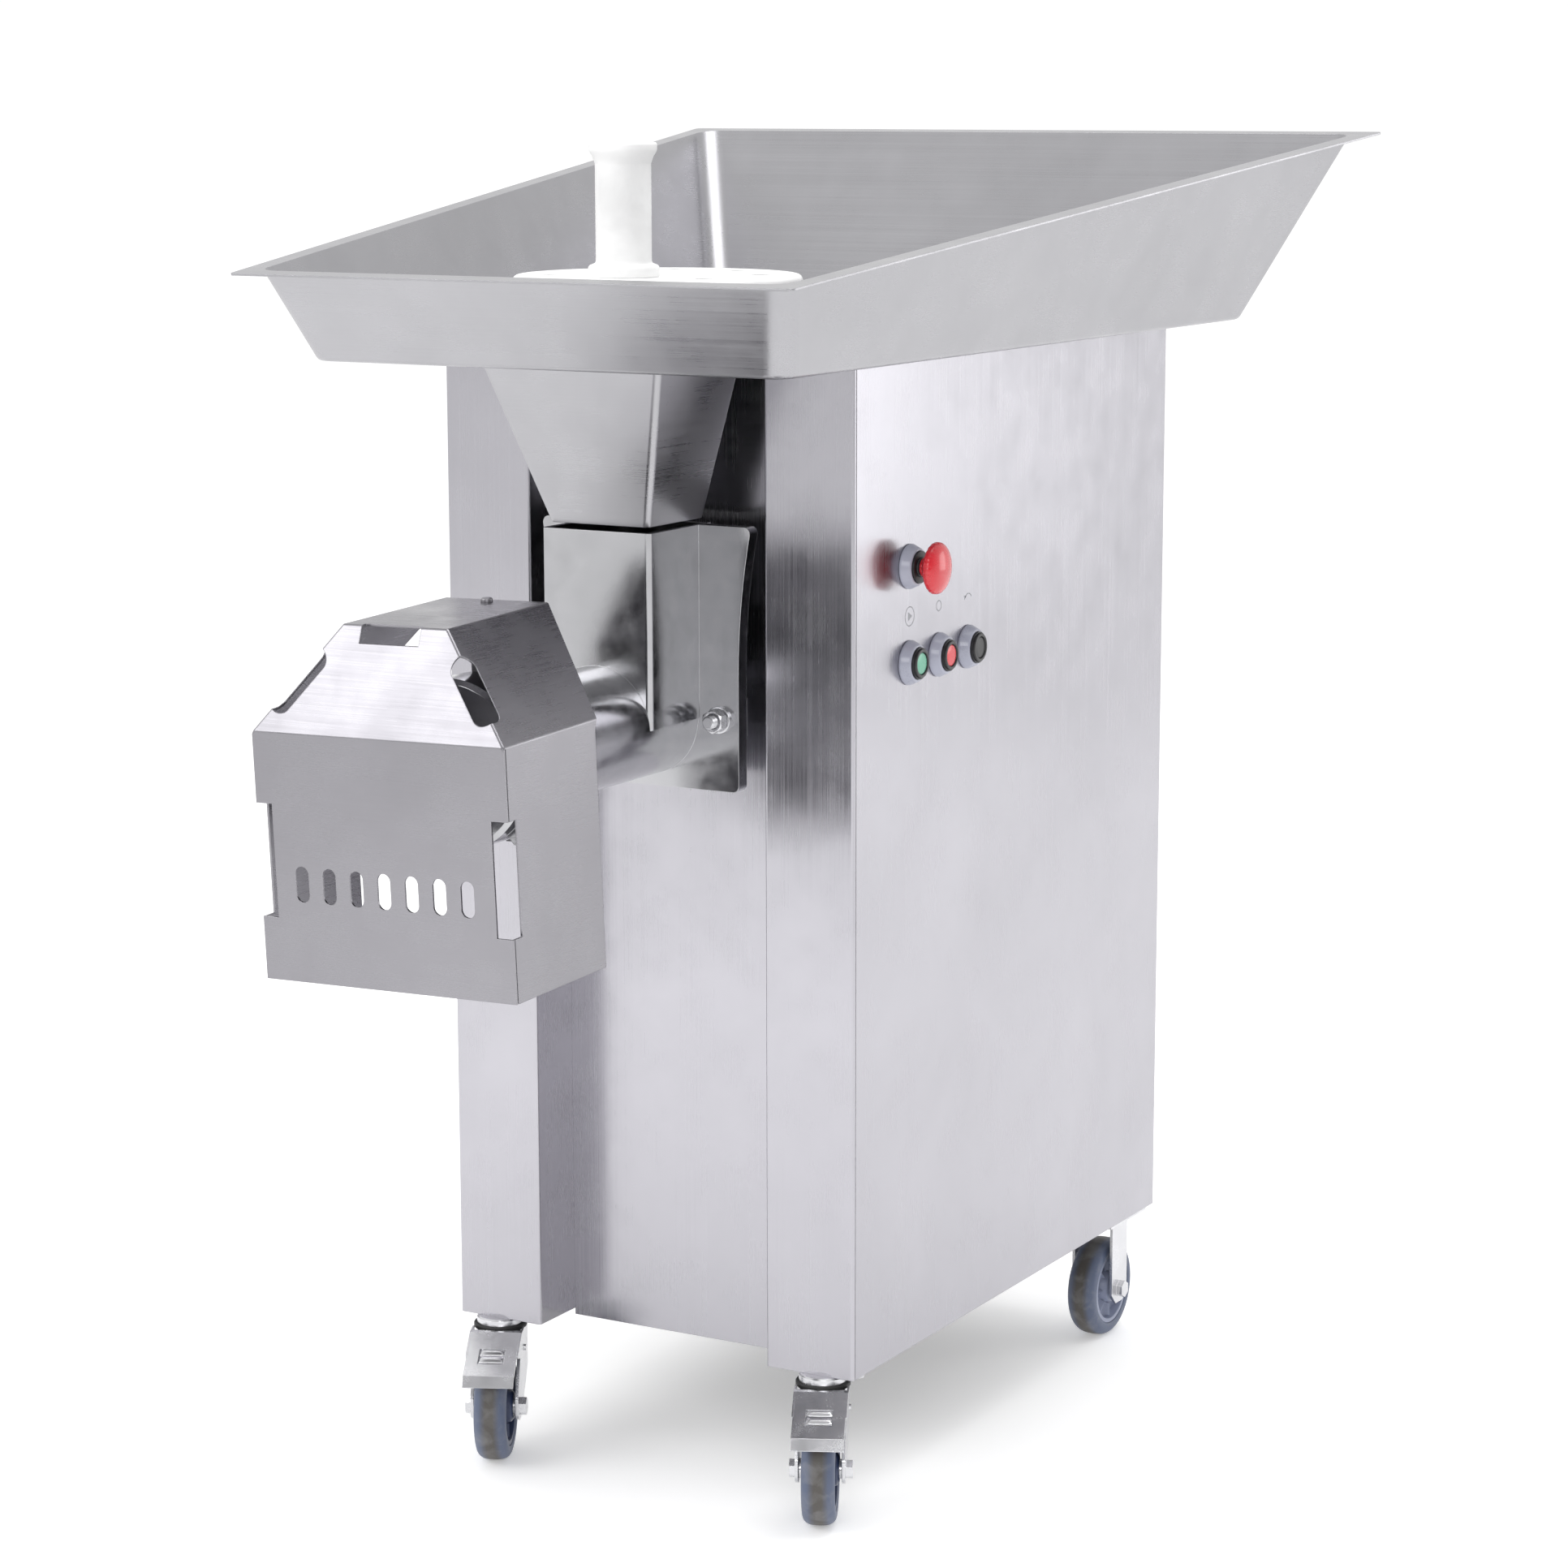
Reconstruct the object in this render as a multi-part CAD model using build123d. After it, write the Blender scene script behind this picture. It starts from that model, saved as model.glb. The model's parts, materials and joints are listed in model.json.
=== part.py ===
from build123d import *
import math
import os

# Floor-standing electric meat grinder. Millimetres, +Z up, front towards -Y, controls on +X.
# The model is laid out from the front face of the posts (Y = 0) and the floor (Z = 0), on the
# centre plane X = 0. At the end every part moves along Y so that the origin lies on the floor
# under the middle of the machine.

# cabinet
CAB_W = 420.0
CAB_D = 646.0
CAB_BOTTOM = 128.0
SHEET = 2.0
POST_W = 89.0
RECESS_Y = 60.0
RECESS_BOTTOM = 122.0
POST_BEND = 3.0
SEAM = 1.2
GLAND_X = 120.0
GLAND_Z = 250.0
GLAND_BORE_R = 5.5
GLAND_L = 42.0

# feed tray: lower corners, top of the walls and the rolled-out rim
TRAY_FRONT_HALF = 236.6
TRAY_FRONT_Y = -167.4
TRAY_FRONT_Z = 1029.0
TRAY_REAR_HALF = 301.0
TRAY_REAR_Y = 634.0
TRAY_REAR_Z = 1038.0
WALL_TOP_FRONT_HALF = 262.3
WALL_TOP_FRONT_Y = -209.5
WALL_TOP_FRONT_Z = 1108.2
WALL_TOP_REAR_Y = 734.5
WALL_TOP_REAR_Z = 1215.1
RIM_W = 16.5
CORNER_BEND = 24.0
FLOOR_BEND = 7.0

# funnel under the tray
FUNNEL_TOP_HALF = 90.0
FUNNEL_TOP_FRONT = -122.0
FUNNEL_REAR = 18.0
FUNNEL_BOTTOM_HALF = 50.4
FUNNEL_BOTTOM_FRONT = -76.0
FUNNEL_BOTTOM_Z = 890.0
FUNNEL_BEND = 6.0

# feed disc and pusher
DISC_Y = 25.0
DISC_R = 127.5
DISC_LOW = 1087.0
DISC_T = 14.0
PUSHER_Y = -31.0
PUSHER_R = 24.3
PUSHER_TOP = 1216.0
PUSHER_BOTTOM = 905.0

# mincing head
AXIS_Z = 714.0
BARREL_R = 53.5
BARREL_BORE_R = 44.0
INLET_HALF = 55.1
INLET_FRONT = -82.2
INLET_TOP = 885.5
INLET_WALL = 4.6
FLANGE_T = 14.0
FLANGE_HALF = 95.0
FLANGE_FLARE = 13.0
FLANGE_BOTTOM = 650.0
MOUTH_R = 62.0
PLATE_R = 50.0
MOUTH_FRONT = -300.0
PLATE_T = 10.0
KNIFE_T = 10.0
KIDNEY_T = 8.0
RING_FRONT = -308.0
RING_R = 72.0
LOCK_X = 75.0
JOURNAL_R = 12.0
WORM_REAR = -6.0
WORM_R = 43.2
WORM_CORE_R = 17.0
WORM_PITCH = 62.0

# drive train
GEAR_MODULE = 2.5
DRIVE_TEETH = 72
PINION_TEETH = 18
GEAR_FRONT = 95.0
GEAR_FACE = 28.0
SHAFT_R = 17.5
BEARING_R = 31.0
BEARING_W = 16.0
GEARBOX_FRONT = 69.0
GEARBOX_REAR = 143.0
GEARBOX_HALF = 108.0
MOTOR_SHAFT_R = 12.0
MOTOR_R = 78.0
MOTOR_FRONT = 153.0
MOTOR_REAR = 330.0
MOTOR_Z = AXIS_Z - GEAR_MODULE * (DRIVE_TEETH + PINION_TEETH) / 2

# guard, in its own frame with the hinge pin at the origin, then hung and turned on the barrel
HINGE_Y = -236.0
HINGE_Z = 828.0
GUARD_ROOF_Z = 14.5
GUARD_ROOF_REAR = 4.0
GUARD_ROOF_FRONT = -142.7
GUARD_ROOF_HALF = 51.0
GUARD_HALF = 122.7
GUARD_FRONT = -178.0
GUARD_EAVE_Z = -71.6
GUARD_BOTTOM_Z = -278.7
GUARD_SIDE_REAR = -44.2
GUARD_SLOT_Z = -196.5
GUARD_DROOP = 1.8
GUARD_ROLL = -1.3

# controls on the right side panel
ESTOP = (102.0, 847.0)
BUTTON_Z = 761.5
BUTTONS = {"start_button": 102.0, "stop_button": 159.0, "reverse_button": 216.0}
BEZEL_R = 20.0
BUTTON_R = 12.9
MUSHROOM_R = 23.0

# casters
WHEEL_R = 50.0
TYRE_W = 30.0
SWIVEL_X = 173.4
SWIVEL_Y = 11.4
SWIVEL_ANGLE = 25.5
TRAIL = 36.0
REAR_WHEEL_X = 175.7
REAR_WHEEL_Y = 592.0
AXLE_R = 6.0
PEDAL_PIN_R = 3.0
PEDAL_Y = -14.0
PEDAL_Z = 100.0

# running clearance on the radius of shafts and pins
CLEAR = 0.06


# ---- small helpers -------------------------------------------------------------------------

def block(x0, x1, y0, y1, z0, z1):
    centre = Pos((x0 + x1) / 2, (y0 + y1) / 2, (z0 + z1) / 2)
    return centre * Box(x1 - x0, y1 - y0, z1 - z0)


def cyl_x(radius, x0, x1, y=0.0, z=0.0):
    return Pos((x0 + x1) / 2, y, z) * Rot(0, 90, 0) * Cylinder(radius, x1 - x0)


def cyl_y(radius, y0, y1, x=0.0, z=0.0):
    return Pos(x, (y0 + y1) / 2, z) * Rot(90, 0, 0) * Cylinder(radius, y1 - y0)


def cyl_z(radius, z0, z1, x=0.0, y=0.0):
    return Pos(x, y, (z0 + z1) / 2) * Cylinder(radius, z1 - z0)


def hex_x(across, x0, x1, y, z):
    blank = extrude(RegularPolygon(across / 2, 6, major_radius=False), x1 - x0)
    return Pos(x0, y, z) * Rot(0, 90, 0) * blank


def hex_y(across, y0, y1, x, z):
    blank = extrude(RegularPolygon(across / 2, 6, major_radius=False), y1 - y0)
    return Pos(x, y1, z) * Rot(90, 0, 0) * blank


def hex_z(across, z0, z1, x, y):
    return Pos(x, y, z0) * extrude(RegularPolygon(across / 2, 6, major_radius=False), z1 - z0)


def slab(points, plane, depth):
    return extrude(plane * make_face(Polyline(*points, close=True)), depth)


def side_plate(points, x0, x1):
    # outline given as (y, z) points
    return slab(points, Plane(origin=(x0, 0, 0), x_dir=(0, 1, 0), z_dir=(1, 0, 0)), x1 - x0)


def front_plate(points, y0, y1):
    # outline given as (x, z) points
    return slab(points, Plane(origin=(0, y1, 0), x_dir=(1, 0, 0), z_dir=(0, -1, 0)), y1 - y0)


def turned_x(points, y, z):
    # outline given as (x, radius) points, turned about a line along X
    profile = make_face(Polyline(*[(x, r, 0) for x, r in points], close=True))
    return Pos(0, y, z) * revolve(profile, Axis.X)


def turned_y(points, x, z):
    # outline given as (y, radius) points, turned about a line along Y
    profile = make_face(Polyline(*[(r, y, 0) for y, r in points], close=True))
    return Pos(x, 0, z) * revolve(profile, Axis.Y)


def one(shape):
    solids = shape.solids()
    return solids[0] if len(solids) == 1 else Compound(children=list(solids))


def group(shapes):
    return Compound(children=[solid for shape in shapes for solid in shape.solids()])


def floor_z(y):
    slope = (TRAY_REAR_Z - TRAY_FRONT_Z) / (TRAY_REAR_Y - TRAY_FRONT_Y)
    return TRAY_FRONT_Z + slope * (y - TRAY_FRONT_Y)


def plane_through(a, b, c):
    origin = Vector(*a)
    normal = (Vector(*b) - origin).cross(Vector(*c) - origin).normalized()
    return Plane(origin=origin, z_dir=normal)


def keep_inside(shape, planes, inset=0.0):
    # planes look outwards, so what lies behind them stays
    for plane in planes:
        shape = split(shape, bisect_by=plane.offset(-inset), keep=Keep.BOTTOM)
    return shape


def below_deck(shape, gap):
    deck = plane_through((0, 0, floor_z(0)), (1, 0, floor_z(0)), (0, 1, floor_z(1)))
    return keep_inside(shape, [deck], gap)


# ---- cabinet -------------------------------------------------------------------------------

def rail(x0, x1, y0, y1, z0, z1, wall=3.0):
    outside = block(x0, x1, y0, y1, z0, z1)
    return outside - block(x0 + wall, x1 - wall, y0 + wall, y1 - wall, z0 - 1, z1 - wall)


def base_frame():
    half = CAB_W / 2 - SHEET
    low = CAB_BOTTOM
    frame = rail(-half, -half + 42, 62, CAB_D - 3, low, low + 30)
    frame += rail(half - 42, half, 62, CAB_D - 3, low, low + 30)
    frame += rail(-half + 40, half - 40, CAB_D - 60, CAB_D - 20, low, low + 30)
    frame += rail(-half + 40, half - 40, 64, 104, low, low + 30)
    inner_post = CAB_W / 2 - POST_W + SHEET
    for side in (-1, 1):
        x_low, x_high = sorted((side * inner_post, side * (half - 2)))
        frame += block(x_low, x_high, SHEET + 1.5, RECESS_Y - 0.5, low, low + 6)
        x_low, x_high = sorted((side * 143, side * (half - 2)))
        frame += block(x_low, x_high, RECESS_Y - 1, 66, low, low + 6)
        frame -= cyl_z(AXLE_R, low - 1, low + 7, side * SWIVEL_X, SWIVEL_Y)
        x_low, x_high = sorted((side * 140, side * 170))
        frame += block(x_low, x_high, 72, 104, low + 29, 540)
        for dx in (-26, 26):
            frame -= cyl_z(3.0, low - 1, low + 7, side * SWIVEL_X + dx, 30)
    frame += block(-170, 170, 72, 104, 540, MOTOR_Z - 34.5)
    return one(frame)


def front_post(side):
    outer = CAB_W / 2
    inner = outer - POST_W
    high = floor_z(CAB_D)
    post = block(inner, outer, 0, RECESS_Y, CAB_BOTTOM, high)
    post = fillet(post.edges().filter_by(Axis.Z).group_by(Axis.Y)[0], POST_BEND)
    inside = block(inner + SHEET, outer - SHEET, SHEET, RECESS_Y + 1, CAB_BOTTOM - 1, high + 1)
    corner = [edge for edge in inside.edges().filter_by(Axis.Z) if edge.center().Y < SHEET + 1]
    post -= fillet(corner, POST_BEND - SHEET)
    post -= block(outer - SHEET - 0.1, outer + 1, POST_BEND + 1, RECESS_Y + 1, 0, high + 1)
    post = below_deck(post, SHEET)
    return one(post if side > 0 else mirror(post, Plane.YZ))


def side_panel(side):
    outer = CAB_W / 2
    front = POST_BEND + 1 + SEAM
    panel = block(outer - SHEET, outer, front, CAB_D, CAB_BOTTOM, floor_z(CAB_D))
    panel = below_deck(panel, SHEET)
    panel += block(outer - 14, outer - SHEET, front, front + SHEET, CAB_BOTTOM + 8, 1018)
    if side > 0:
        for y, z in [ESTOP] + [(y, BUTTON_Z) for y in BUTTONS.values()]:
            panel -= cyl_x(11.2, outer - 5, outer + 1, y, z)
    return one(panel if side > 0 else mirror(panel, Plane.YZ))


def recess_panel():
    half = CAB_W / 2 - POST_W
    panel = block(-half - 20, half + 20, RECESS_Y, RECESS_Y + SHEET, RECESS_BOTTOM + 8, 1040)
    panel = below_deck(panel, SHEET)
    panel += block(-half, half, RECESS_Y, RECESS_Y + SHEET, RECESS_BOTTOM, RECESS_BOTTOM + 9)
    return one(panel - cyl_y(61, RECESS_Y - 1, RECESS_Y + 4, 0, AXIS_Z))


def top_deck():
    half = CAB_W / 2
    notch = half - POST_W + SHEET
    deck = block(-half, half, 0, CAB_D, 1000, 1060)
    deck -= block(-notch, notch, -1, RECESS_Y - 1, 990, 1070)
    below = below_deck(deck, 0)
    return one(below - below_deck(deck, SHEET))


def rear_panel():
    half = CAB_W / 2 - SHEET - 0.5
    panel = block(-half, half, CAB_D - SHEET, CAB_D, CAB_BOTTOM + 4, 1060)
    panel = below_deck(panel, SHEET + 1)
    slot = Rot(90, 0, 0) * extrude(SlotOverall(110, 7), 20)
    for column in (-75, 75):
        for row in range(9):
            panel -= Pos(column, CAB_D + 10, 430 + 22 * row) * slot
    panel -= cyl_y(10.2, CAB_D - 5, CAB_D + 1, GLAND_X, GLAND_Z)
    for x, z in screw_places():
        panel -= cyl_y(2.6, CAB_D - 5, CAB_D + 1, x, z)
    return one(panel)


def screw_places():
    half = CAB_W / 2 - 14
    return [(side * half, z) for side in (-1, 1) for z in (180, 430, 710, 990)]


def panel_screws():
    screws = []
    for x, z in screw_places():
        head = cyl_y(5.0, CAB_D, CAB_D + 2.8, x, z)
        head = fillet(head.edges().group_by(Axis.Y)[-1], 1.6)
        head -= hex_y(3.0, CAB_D + 1.2, CAB_D + 3, x, z)
        screws.append(head + cyl_y(2.5, CAB_D - 10, CAB_D, x, z))
    for side in (-1, 1):
        for dx in (-26, 26):
            x = side * SWIVEL_X + dx
            bolt = hex_z(10, CAB_BOTTOM - 6, CAB_BOTTOM - 1.5, x, 30)
            bolt += cyl_z(6.5, CAB_BOTTOM - 1.5, CAB_BOTTOM, x, 30)
            screws.append(bolt + cyl_z(2.9, CAB_BOTTOM - 6.5, CAB_BOTTOM + 8, x, 30))
    return group(screws)


def cable_gland():
    body = hex_y(27, CAB_D, CAB_D + 7, GLAND_X, GLAND_Z)
    dome = [(7, 5.0), (7, 12.5), (20, 12.5), (27, 9.0), (27, 5.0)]
    body += turned_y([(CAB_D + y, radius) for y, radius in dome], GLAND_X, GLAND_Z)
    body += cyl_y(10.0, CAB_D + 27 - GLAND_L, CAB_D, GLAND_X, GLAND_Z)
    body += hex_y(27, CAB_D - 8, CAB_D - SHEET, GLAND_X, GLAND_Z)
    return one(body - cyl_y(GLAND_BORE_R, CAB_D - 30, CAB_D + 40, GLAND_X, GLAND_Z))


# ---- feed tray, funnel, disc and pusher ----------------------------------------------------

def tray_planes():
    left = (-TRAY_FRONT_HALF, TRAY_FRONT_Y, TRAY_FRONT_Z)
    right = (TRAY_FRONT_HALF, TRAY_FRONT_Y, TRAY_FRONT_Z)
    rear_left = (-TRAY_REAR_HALF, TRAY_REAR_Y, TRAY_REAR_Z)
    rear_right = (TRAY_REAR_HALF, TRAY_REAR_Y, TRAY_REAR_Z)
    top_right = (WALL_TOP_FRONT_HALF, WALL_TOP_FRONT_Y, WALL_TOP_FRONT_Z)
    top_left = (-WALL_TOP_FRONT_HALF, WALL_TOP_FRONT_Y, WALL_TOP_FRONT_Z)
    top_rear = (0, WALL_TOP_REAR_Y, WALL_TOP_REAR_Z)
    walls = [
        plane_through(left, right, top_right),
        plane_through(right, rear_right, top_right),
        plane_through(rear_right, rear_left, top_rear),
        plane_through(rear_left, left, top_left),
    ]
    floor = plane_through(left, rear_left, right)
    rim = plane_through(top_left, top_right, top_rear)
    return walls, floor, rim


def tray_body(inset, floor_inset):
    walls, floor, rim = tray_planes()
    body = block(-600, 600, -500, 1000, 900, 1400)
    body = keep_inside(body, walls, inset)
    body = keep_inside(body, [floor], floor_inset)
    upright = [edge for edge in body.edges() if abs(edge.tangent_at(0.5).Z) > 0.5]
    upright = [edge for edge in upright if edge.center().Z < 1390]
    body = fillet(upright, CORNER_BEND - inset)
    low = [edge for edge in body.edges() if abs(edge.center().Z - floor_z(edge.center().Y)) < 6]
    body = fillet(low, FLOOR_BEND - inset)
    return body, rim


def rim_plate():
    walls, _, rim = tray_planes()
    plate = block(-600, 600, -500, 1000, 900, 1400)
    for wall in walls:
        edge = wall.z_dir.cross(rim.z_dir).normalized()
        outward = edge.cross(rim.z_dir).normalized()
        if outward.dot(wall.z_dir) < 0:
            outward = outward * -1
        shared = common_point(wall, rim)
        plate = split(plate, Plane(origin=shared + outward * RIM_W, z_dir=outward), Keep.BOTTOM)
    upright = [edge for edge in plate.edges() if abs(edge.tangent_at(0.5).Z) > 0.9]
    plate = fillet(upright, 5.0)
    return keep_inside(plate, [rim]) - keep_inside(plate, [rim], SHEET)


def common_point(first, second):
    # the point shared by both planes that lies nearest the first one's origin
    line = first.z_dir.cross(second.z_dir).normalized()
    step = line.cross(first.z_dir)
    gap = (second.origin - first.origin).dot(second.z_dir)
    return first.origin + step * (gap / step.dot(second.z_dir))


def hopper_tray():
    outside, rim = tray_body(0.0, 0.0)
    inside, _ = tray_body(SHEET, SHEET)
    throat = block(-FUNNEL_TOP_HALF + SHEET, FUNNEL_TOP_HALF - SHEET,
                   FUNNEL_TOP_FRONT + SHEET, FUNNEL_REAR - SHEET, 1000, 1060)
    tray = keep_inside(outside, [rim]) + rim_plate()
    return one(tray - inside - throat)


def funnel_blank(half, front, top, inset):
    rear = FUNNEL_REAR - inset
    sections = []
    for half_width, front_y, z in ((FUNNEL_BOTTOM_HALF, FUNNEL_BOTTOM_FRONT, FUNNEL_BOTTOM_Z),
                                   (half, front, top)):
        front_y += inset
        outline = Rectangle(2 * (half_width - inset), rear - front_y)
        sections.append(Pos(0, (front_y + rear) / 2, z) * outline)
    blank = loft(sections, ruled=True)
    upright = [edge for edge in blank.edges() if abs(edge.tangent_at(0.5).Z) > 0.5]
    return fillet(upright, FUNNEL_BEND - inset)


def hopper_funnel():
    top = 1040.0
    rise = (top - FUNNEL_BOTTOM_Z) / (TRAY_FRONT_Z - FUNNEL_BOTTOM_Z)
    half = FUNNEL_BOTTOM_HALF + (FUNNEL_TOP_HALF - FUNNEL_BOTTOM_HALF) * rise
    front = FUNNEL_BOTTOM_FRONT + (FUNNEL_TOP_FRONT - FUNNEL_BOTTOM_FRONT) * rise
    outside = funnel_blank(half, front, top, 0)
    inside = funnel_blank(half, front, top, SHEET)
    return one(below_deck(outside - inside, 0))


def post_places():
    return [(-72, 78), (72, 78), (-98, 12), (98, 12)]


def feed_disc():
    disc = cyl_z(DISC_R, DISC_LOW, DISC_LOW + DISC_T, 0, DISC_Y)
    disc = fillet(disc.edges(), 5.5)
    disc -= cyl_z(PUSHER_R + 0.5, DISC_LOW - 1, DISC_LOW + DISC_T + 1, 0, PUSHER_Y)
    for angle in (20, 70, 110, 160):
        x = 92 * math.cos(math.radians(angle))
        y = DISC_Y + 92 * math.sin(math.radians(angle))
        disc -= cyl_z(8.5, DISC_LOW - 1, DISC_LOW + DISC_T + 1, x, y)
    for side in (-1, 1):
        disc -= cyl_z(8.5, DISC_LOW - 1, DISC_LOW + DISC_T + 1, side * 78, -26)
    return one(disc)


def disc_posts():
    _, floor, _ = tray_planes()
    lifted = floor.offset(-SHEET)
    posts = []
    for x, y in post_places():
        post = cyl_z(8, 1000, DISC_LOW, x, y)
        posts.append(split(post, bisect_by=lifted, keep=Keep.BOTTOM))
    return group(posts)


def pusher():
    rest = DISC_LOW + DISC_T
    profile = [
        (0, PUSHER_BOTTOM), (PUSHER_R - 2, PUSHER_BOTTOM), (PUSHER_R, PUSHER_BOTTOM + 2),
        (PUSHER_R, rest), (31, rest), (31, rest + 10), (PUSHER_R, rest + 12),
        (PUSHER_R, PUSHER_TOP - 18), (29.5, PUSHER_TOP - 9), (29.5, PUSHER_TOP - 1.5),
        (28, PUSHER_TOP), (0, PUSHER_TOP),
    ]
    face = make_face(Polyline(*[(r, 0, z) for r, z in profile], close=True))
    return one(Pos(0, PUSHER_Y, 0) * revolve(face, Axis.Z))


# ---- mincing head --------------------------------------------------------------------------

def flange_outline(depth_front, depth_rear):
    low = FLANGE_HALF
    high = FLANGE_HALF + FLANGE_FLARE
    knee = AXIS_Z + 40
    edges = []
    for side in (-1, 1):
        edges.append(Line((side * low, FLANGE_BOTTOM), (side * low, knee)))
        edges.append(TangentArc((side * low, knee), (side * high, INLET_TOP), tangent=(0, 1)))
    edges.append(Line((-low, FLANGE_BOTTOM), (low, FLANGE_BOTTOM)))
    edges.append(Line((-high, INLET_TOP), (high, INLET_TOP)))
    face = make_face(Curve() + edges)
    plane = Plane(origin=(0, depth_rear, 0), x_dir=(1, 0, 0), z_dir=(0, -1, 0))
    return extrude(plane * face, depth_rear - depth_front)


def head_housing():
    flange = flange_outline(0, FLANGE_T)
    flange = fillet(flange.edges().filter_by(Axis.Y), 6.0)
    block_top = block(-INLET_HALF, INLET_HALF, INLET_FRONT, FLANGE_T, AXIS_Z, INLET_TOP)
    block_top = fillet(block_top.edges().filter_by(Axis.Z).group_by(Axis.Y)[0], 5.0)
    inlet_rear = block(-INLET_HALF, INLET_HALF, 0, FUNNEL_REAR + 3, AXIS_Z + 90, INLET_TOP)
    barrel_profile = [
        (FLANGE_T, 0), (FLANGE_T, BARREL_R), (-241, BARREL_R), (-252, MOUTH_R),
        (MOUTH_FRONT + 2, MOUTH_R), (MOUTH_FRONT, MOUTH_R - 2), (MOUTH_FRONT, 0),
    ]
    barrel = turned_y(barrel_profile, 0, AXIS_Z)
    head = flange + block_top + barrel + inlet_rear
    head += cyl_y(40, FLANGE_T, FLANGE_T + 10, 0, AXIS_Z)
    wall = INLET_WALL
    duct = block(-INLET_HALF + wall, INLET_HALF - wall, INLET_FRONT + wall, FUNNEL_REAR - 1,
                 AXIS_Z + 100, INLET_TOP + 1)
    duct += block(-BARREL_BORE_R + 4, BARREL_BORE_R - 4, INLET_FRONT + wall, -8,
                  AXIS_Z, AXIS_Z + 101)
    head -= duct
    head -= cyl_y(BARREL_BORE_R, MOUTH_FRONT - 1, -3, 0, AXIS_Z)
    head -= cyl_y(PLATE_R + 0.3, MOUTH_FRONT - 1, plate_seat(), 0, AXIS_Z)
    head -= cyl_y(SHAFT_R + 3, -4, FLANGE_T + 20, 0, AXIS_Z)
    for side in (-1, 1):
        head -= cyl_y(6.3, -1, FLANGE_T + 1, side * LOCK_X, AXIS_Z)
    return one(head)


def plate_seat():
    return MOUTH_FRONT + PLATE_T + KNIFE_T + KIDNEY_T + 1.0


def mounting_flange():
    ring = cyl_y(60, FLANGE_T, RECESS_Y + 4, 0, AXIS_Z)
    ring += block(-88, 88, FLANGE_T, FLANGE_T + 14, AXIS_Z - 17, AXIS_Z + 17)
    ring += cyl_y(85, RECESS_Y + SHEET, GEARBOX_FRONT, 0, AXIS_Z)
    ring -= cyl_y(40.2, FLANGE_T - 1, FLANGE_T + 10.2, 0, AXIS_Z)
    ring -= cyl_y(SHAFT_R + 3, FLANGE_T, GEARBOX_FRONT + 1, 0, AXIS_Z)
    ring -= cyl_y(30, RECESS_Y - 8, GEARBOX_FRONT + 1, 0, AXIS_Z)
    for side in (-1, 1):
        ring -= cyl_y(6.0, FLANGE_T - 1, FLANGE_T + 15, side * LOCK_X, AXIS_Z)
    return one(ring)


def head_lock_bolts():
    bolts = []
    for side in (-1, 1):
        x = side * LOCK_X
        bolt = cyl_y(6.0, -20, FLANGE_T + 14, x, AXIS_Z)
        bolt += cyl_y(12, -2.5, 0, x, AXIS_Z)
        nut = hex_y(19, -13, -2.5, x, AXIS_Z)
        bolts.append(bolt + nut)
    return group(bolts)


def worm():
    core = Plane.XY * Circle(WORM_CORE_R)
    flight = Circle(WORM_R) - Circle(WORM_CORE_R - 2)
    spread = math.radians(17)
    reach = 2 * WORM_R
    wedge = make_face(Polyline(
        (0, 0), (reach, -reach * math.tan(spread)), (reach, reach * math.tan(spread)), close=True))
    section = (core + (flight & wedge)).faces()[0]
    front = plate_seat() + 3
    length = WORM_REAR - front
    twist = 360 * length / WORM_PITCH
    screw = Solid.extrude_linear_with_rotation(section, (0, 0, 0), (0, 0, length), twist)
    screw = Pos(0, WORM_REAR, AXIS_Z) * Rot(90, 0, 0) * screw
    screw += cyl_y(JOURNAL_R, MOUTH_FRONT - 1, front + 2, 0, AXIS_Z)
    square = block(-8.8, 8.8, kidney_front() - KNIFE_T, kidney_front(), AXIS_Z - 8.8, AXIS_Z + 8.8)
    cutter_zone = cyl_y(JOURNAL_R + 2, kidney_front() - KNIFE_T, kidney_front(), 0, AXIS_Z)
    screw -= cutter_zone - square
    return one(screw)


def kidney_front():
    return MOUTH_FRONT + PLATE_T + KNIFE_T + 0.6


def kidney_plate():
    front = kidney_front() + 0.3
    plate = cyl_y(PLATE_R, front, front + KIDNEY_T, 0, AXIS_Z)
    plate -= cyl_y(JOURNAL_R + CLEAR, front - 1, front + KIDNEY_T + 1, 0, AXIS_Z)
    window = Circle(43) - Circle(20)
    sector = make_face(Polyline((0, 0), (90, -70), (90, 70), close=True))
    opening = extrude(window & sector, KIDNEY_T + 4)
    for angle in (90, 210, 330):
        plate -= Pos(0, front + KIDNEY_T + 2, AXIS_Z) * Rot(90, 0, 0) * Rot(0, 0, angle) * opening
    return one(plate)


def knife():
    front = kidney_front() - KNIFE_T + 0.3
    thick = KNIFE_T - 0.6
    blade = make_face(Polyline((0, -9), (20, -9), (46, -5), (46, 3), (20, 9), (0, 9), close=True))
    cross = Circle(18)
    for angle in (0, 90, 180, 270):
        cross += Rot(0, 0, angle) * blade
    cross -= Rectangle(17.6, 17.6)
    return one(Pos(0, front + thick, AXIS_Z) * Rot(90, 0, 0) * extrude(cross, thick))


def mincing_plate():
    rear = MOUTH_FRONT + PLATE_T - 0.2
    disc = Circle(PLATE_R) - Circle(JOURNAL_R + CLEAR)
    for ring, count in ((19.5, 14), (27.0, 20), (34.5, 26), (42.0, 32)):
        with_offset = 180 / count if count % 4 else 0
        holes = PolarLocations(ring, count, start_angle=with_offset)
        disc -= holes * Circle(2.4)
    return one(Pos(0, rear, AXIS_Z) * Rot(90, 0, 0) * extrude(disc, PLATE_T))


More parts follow.
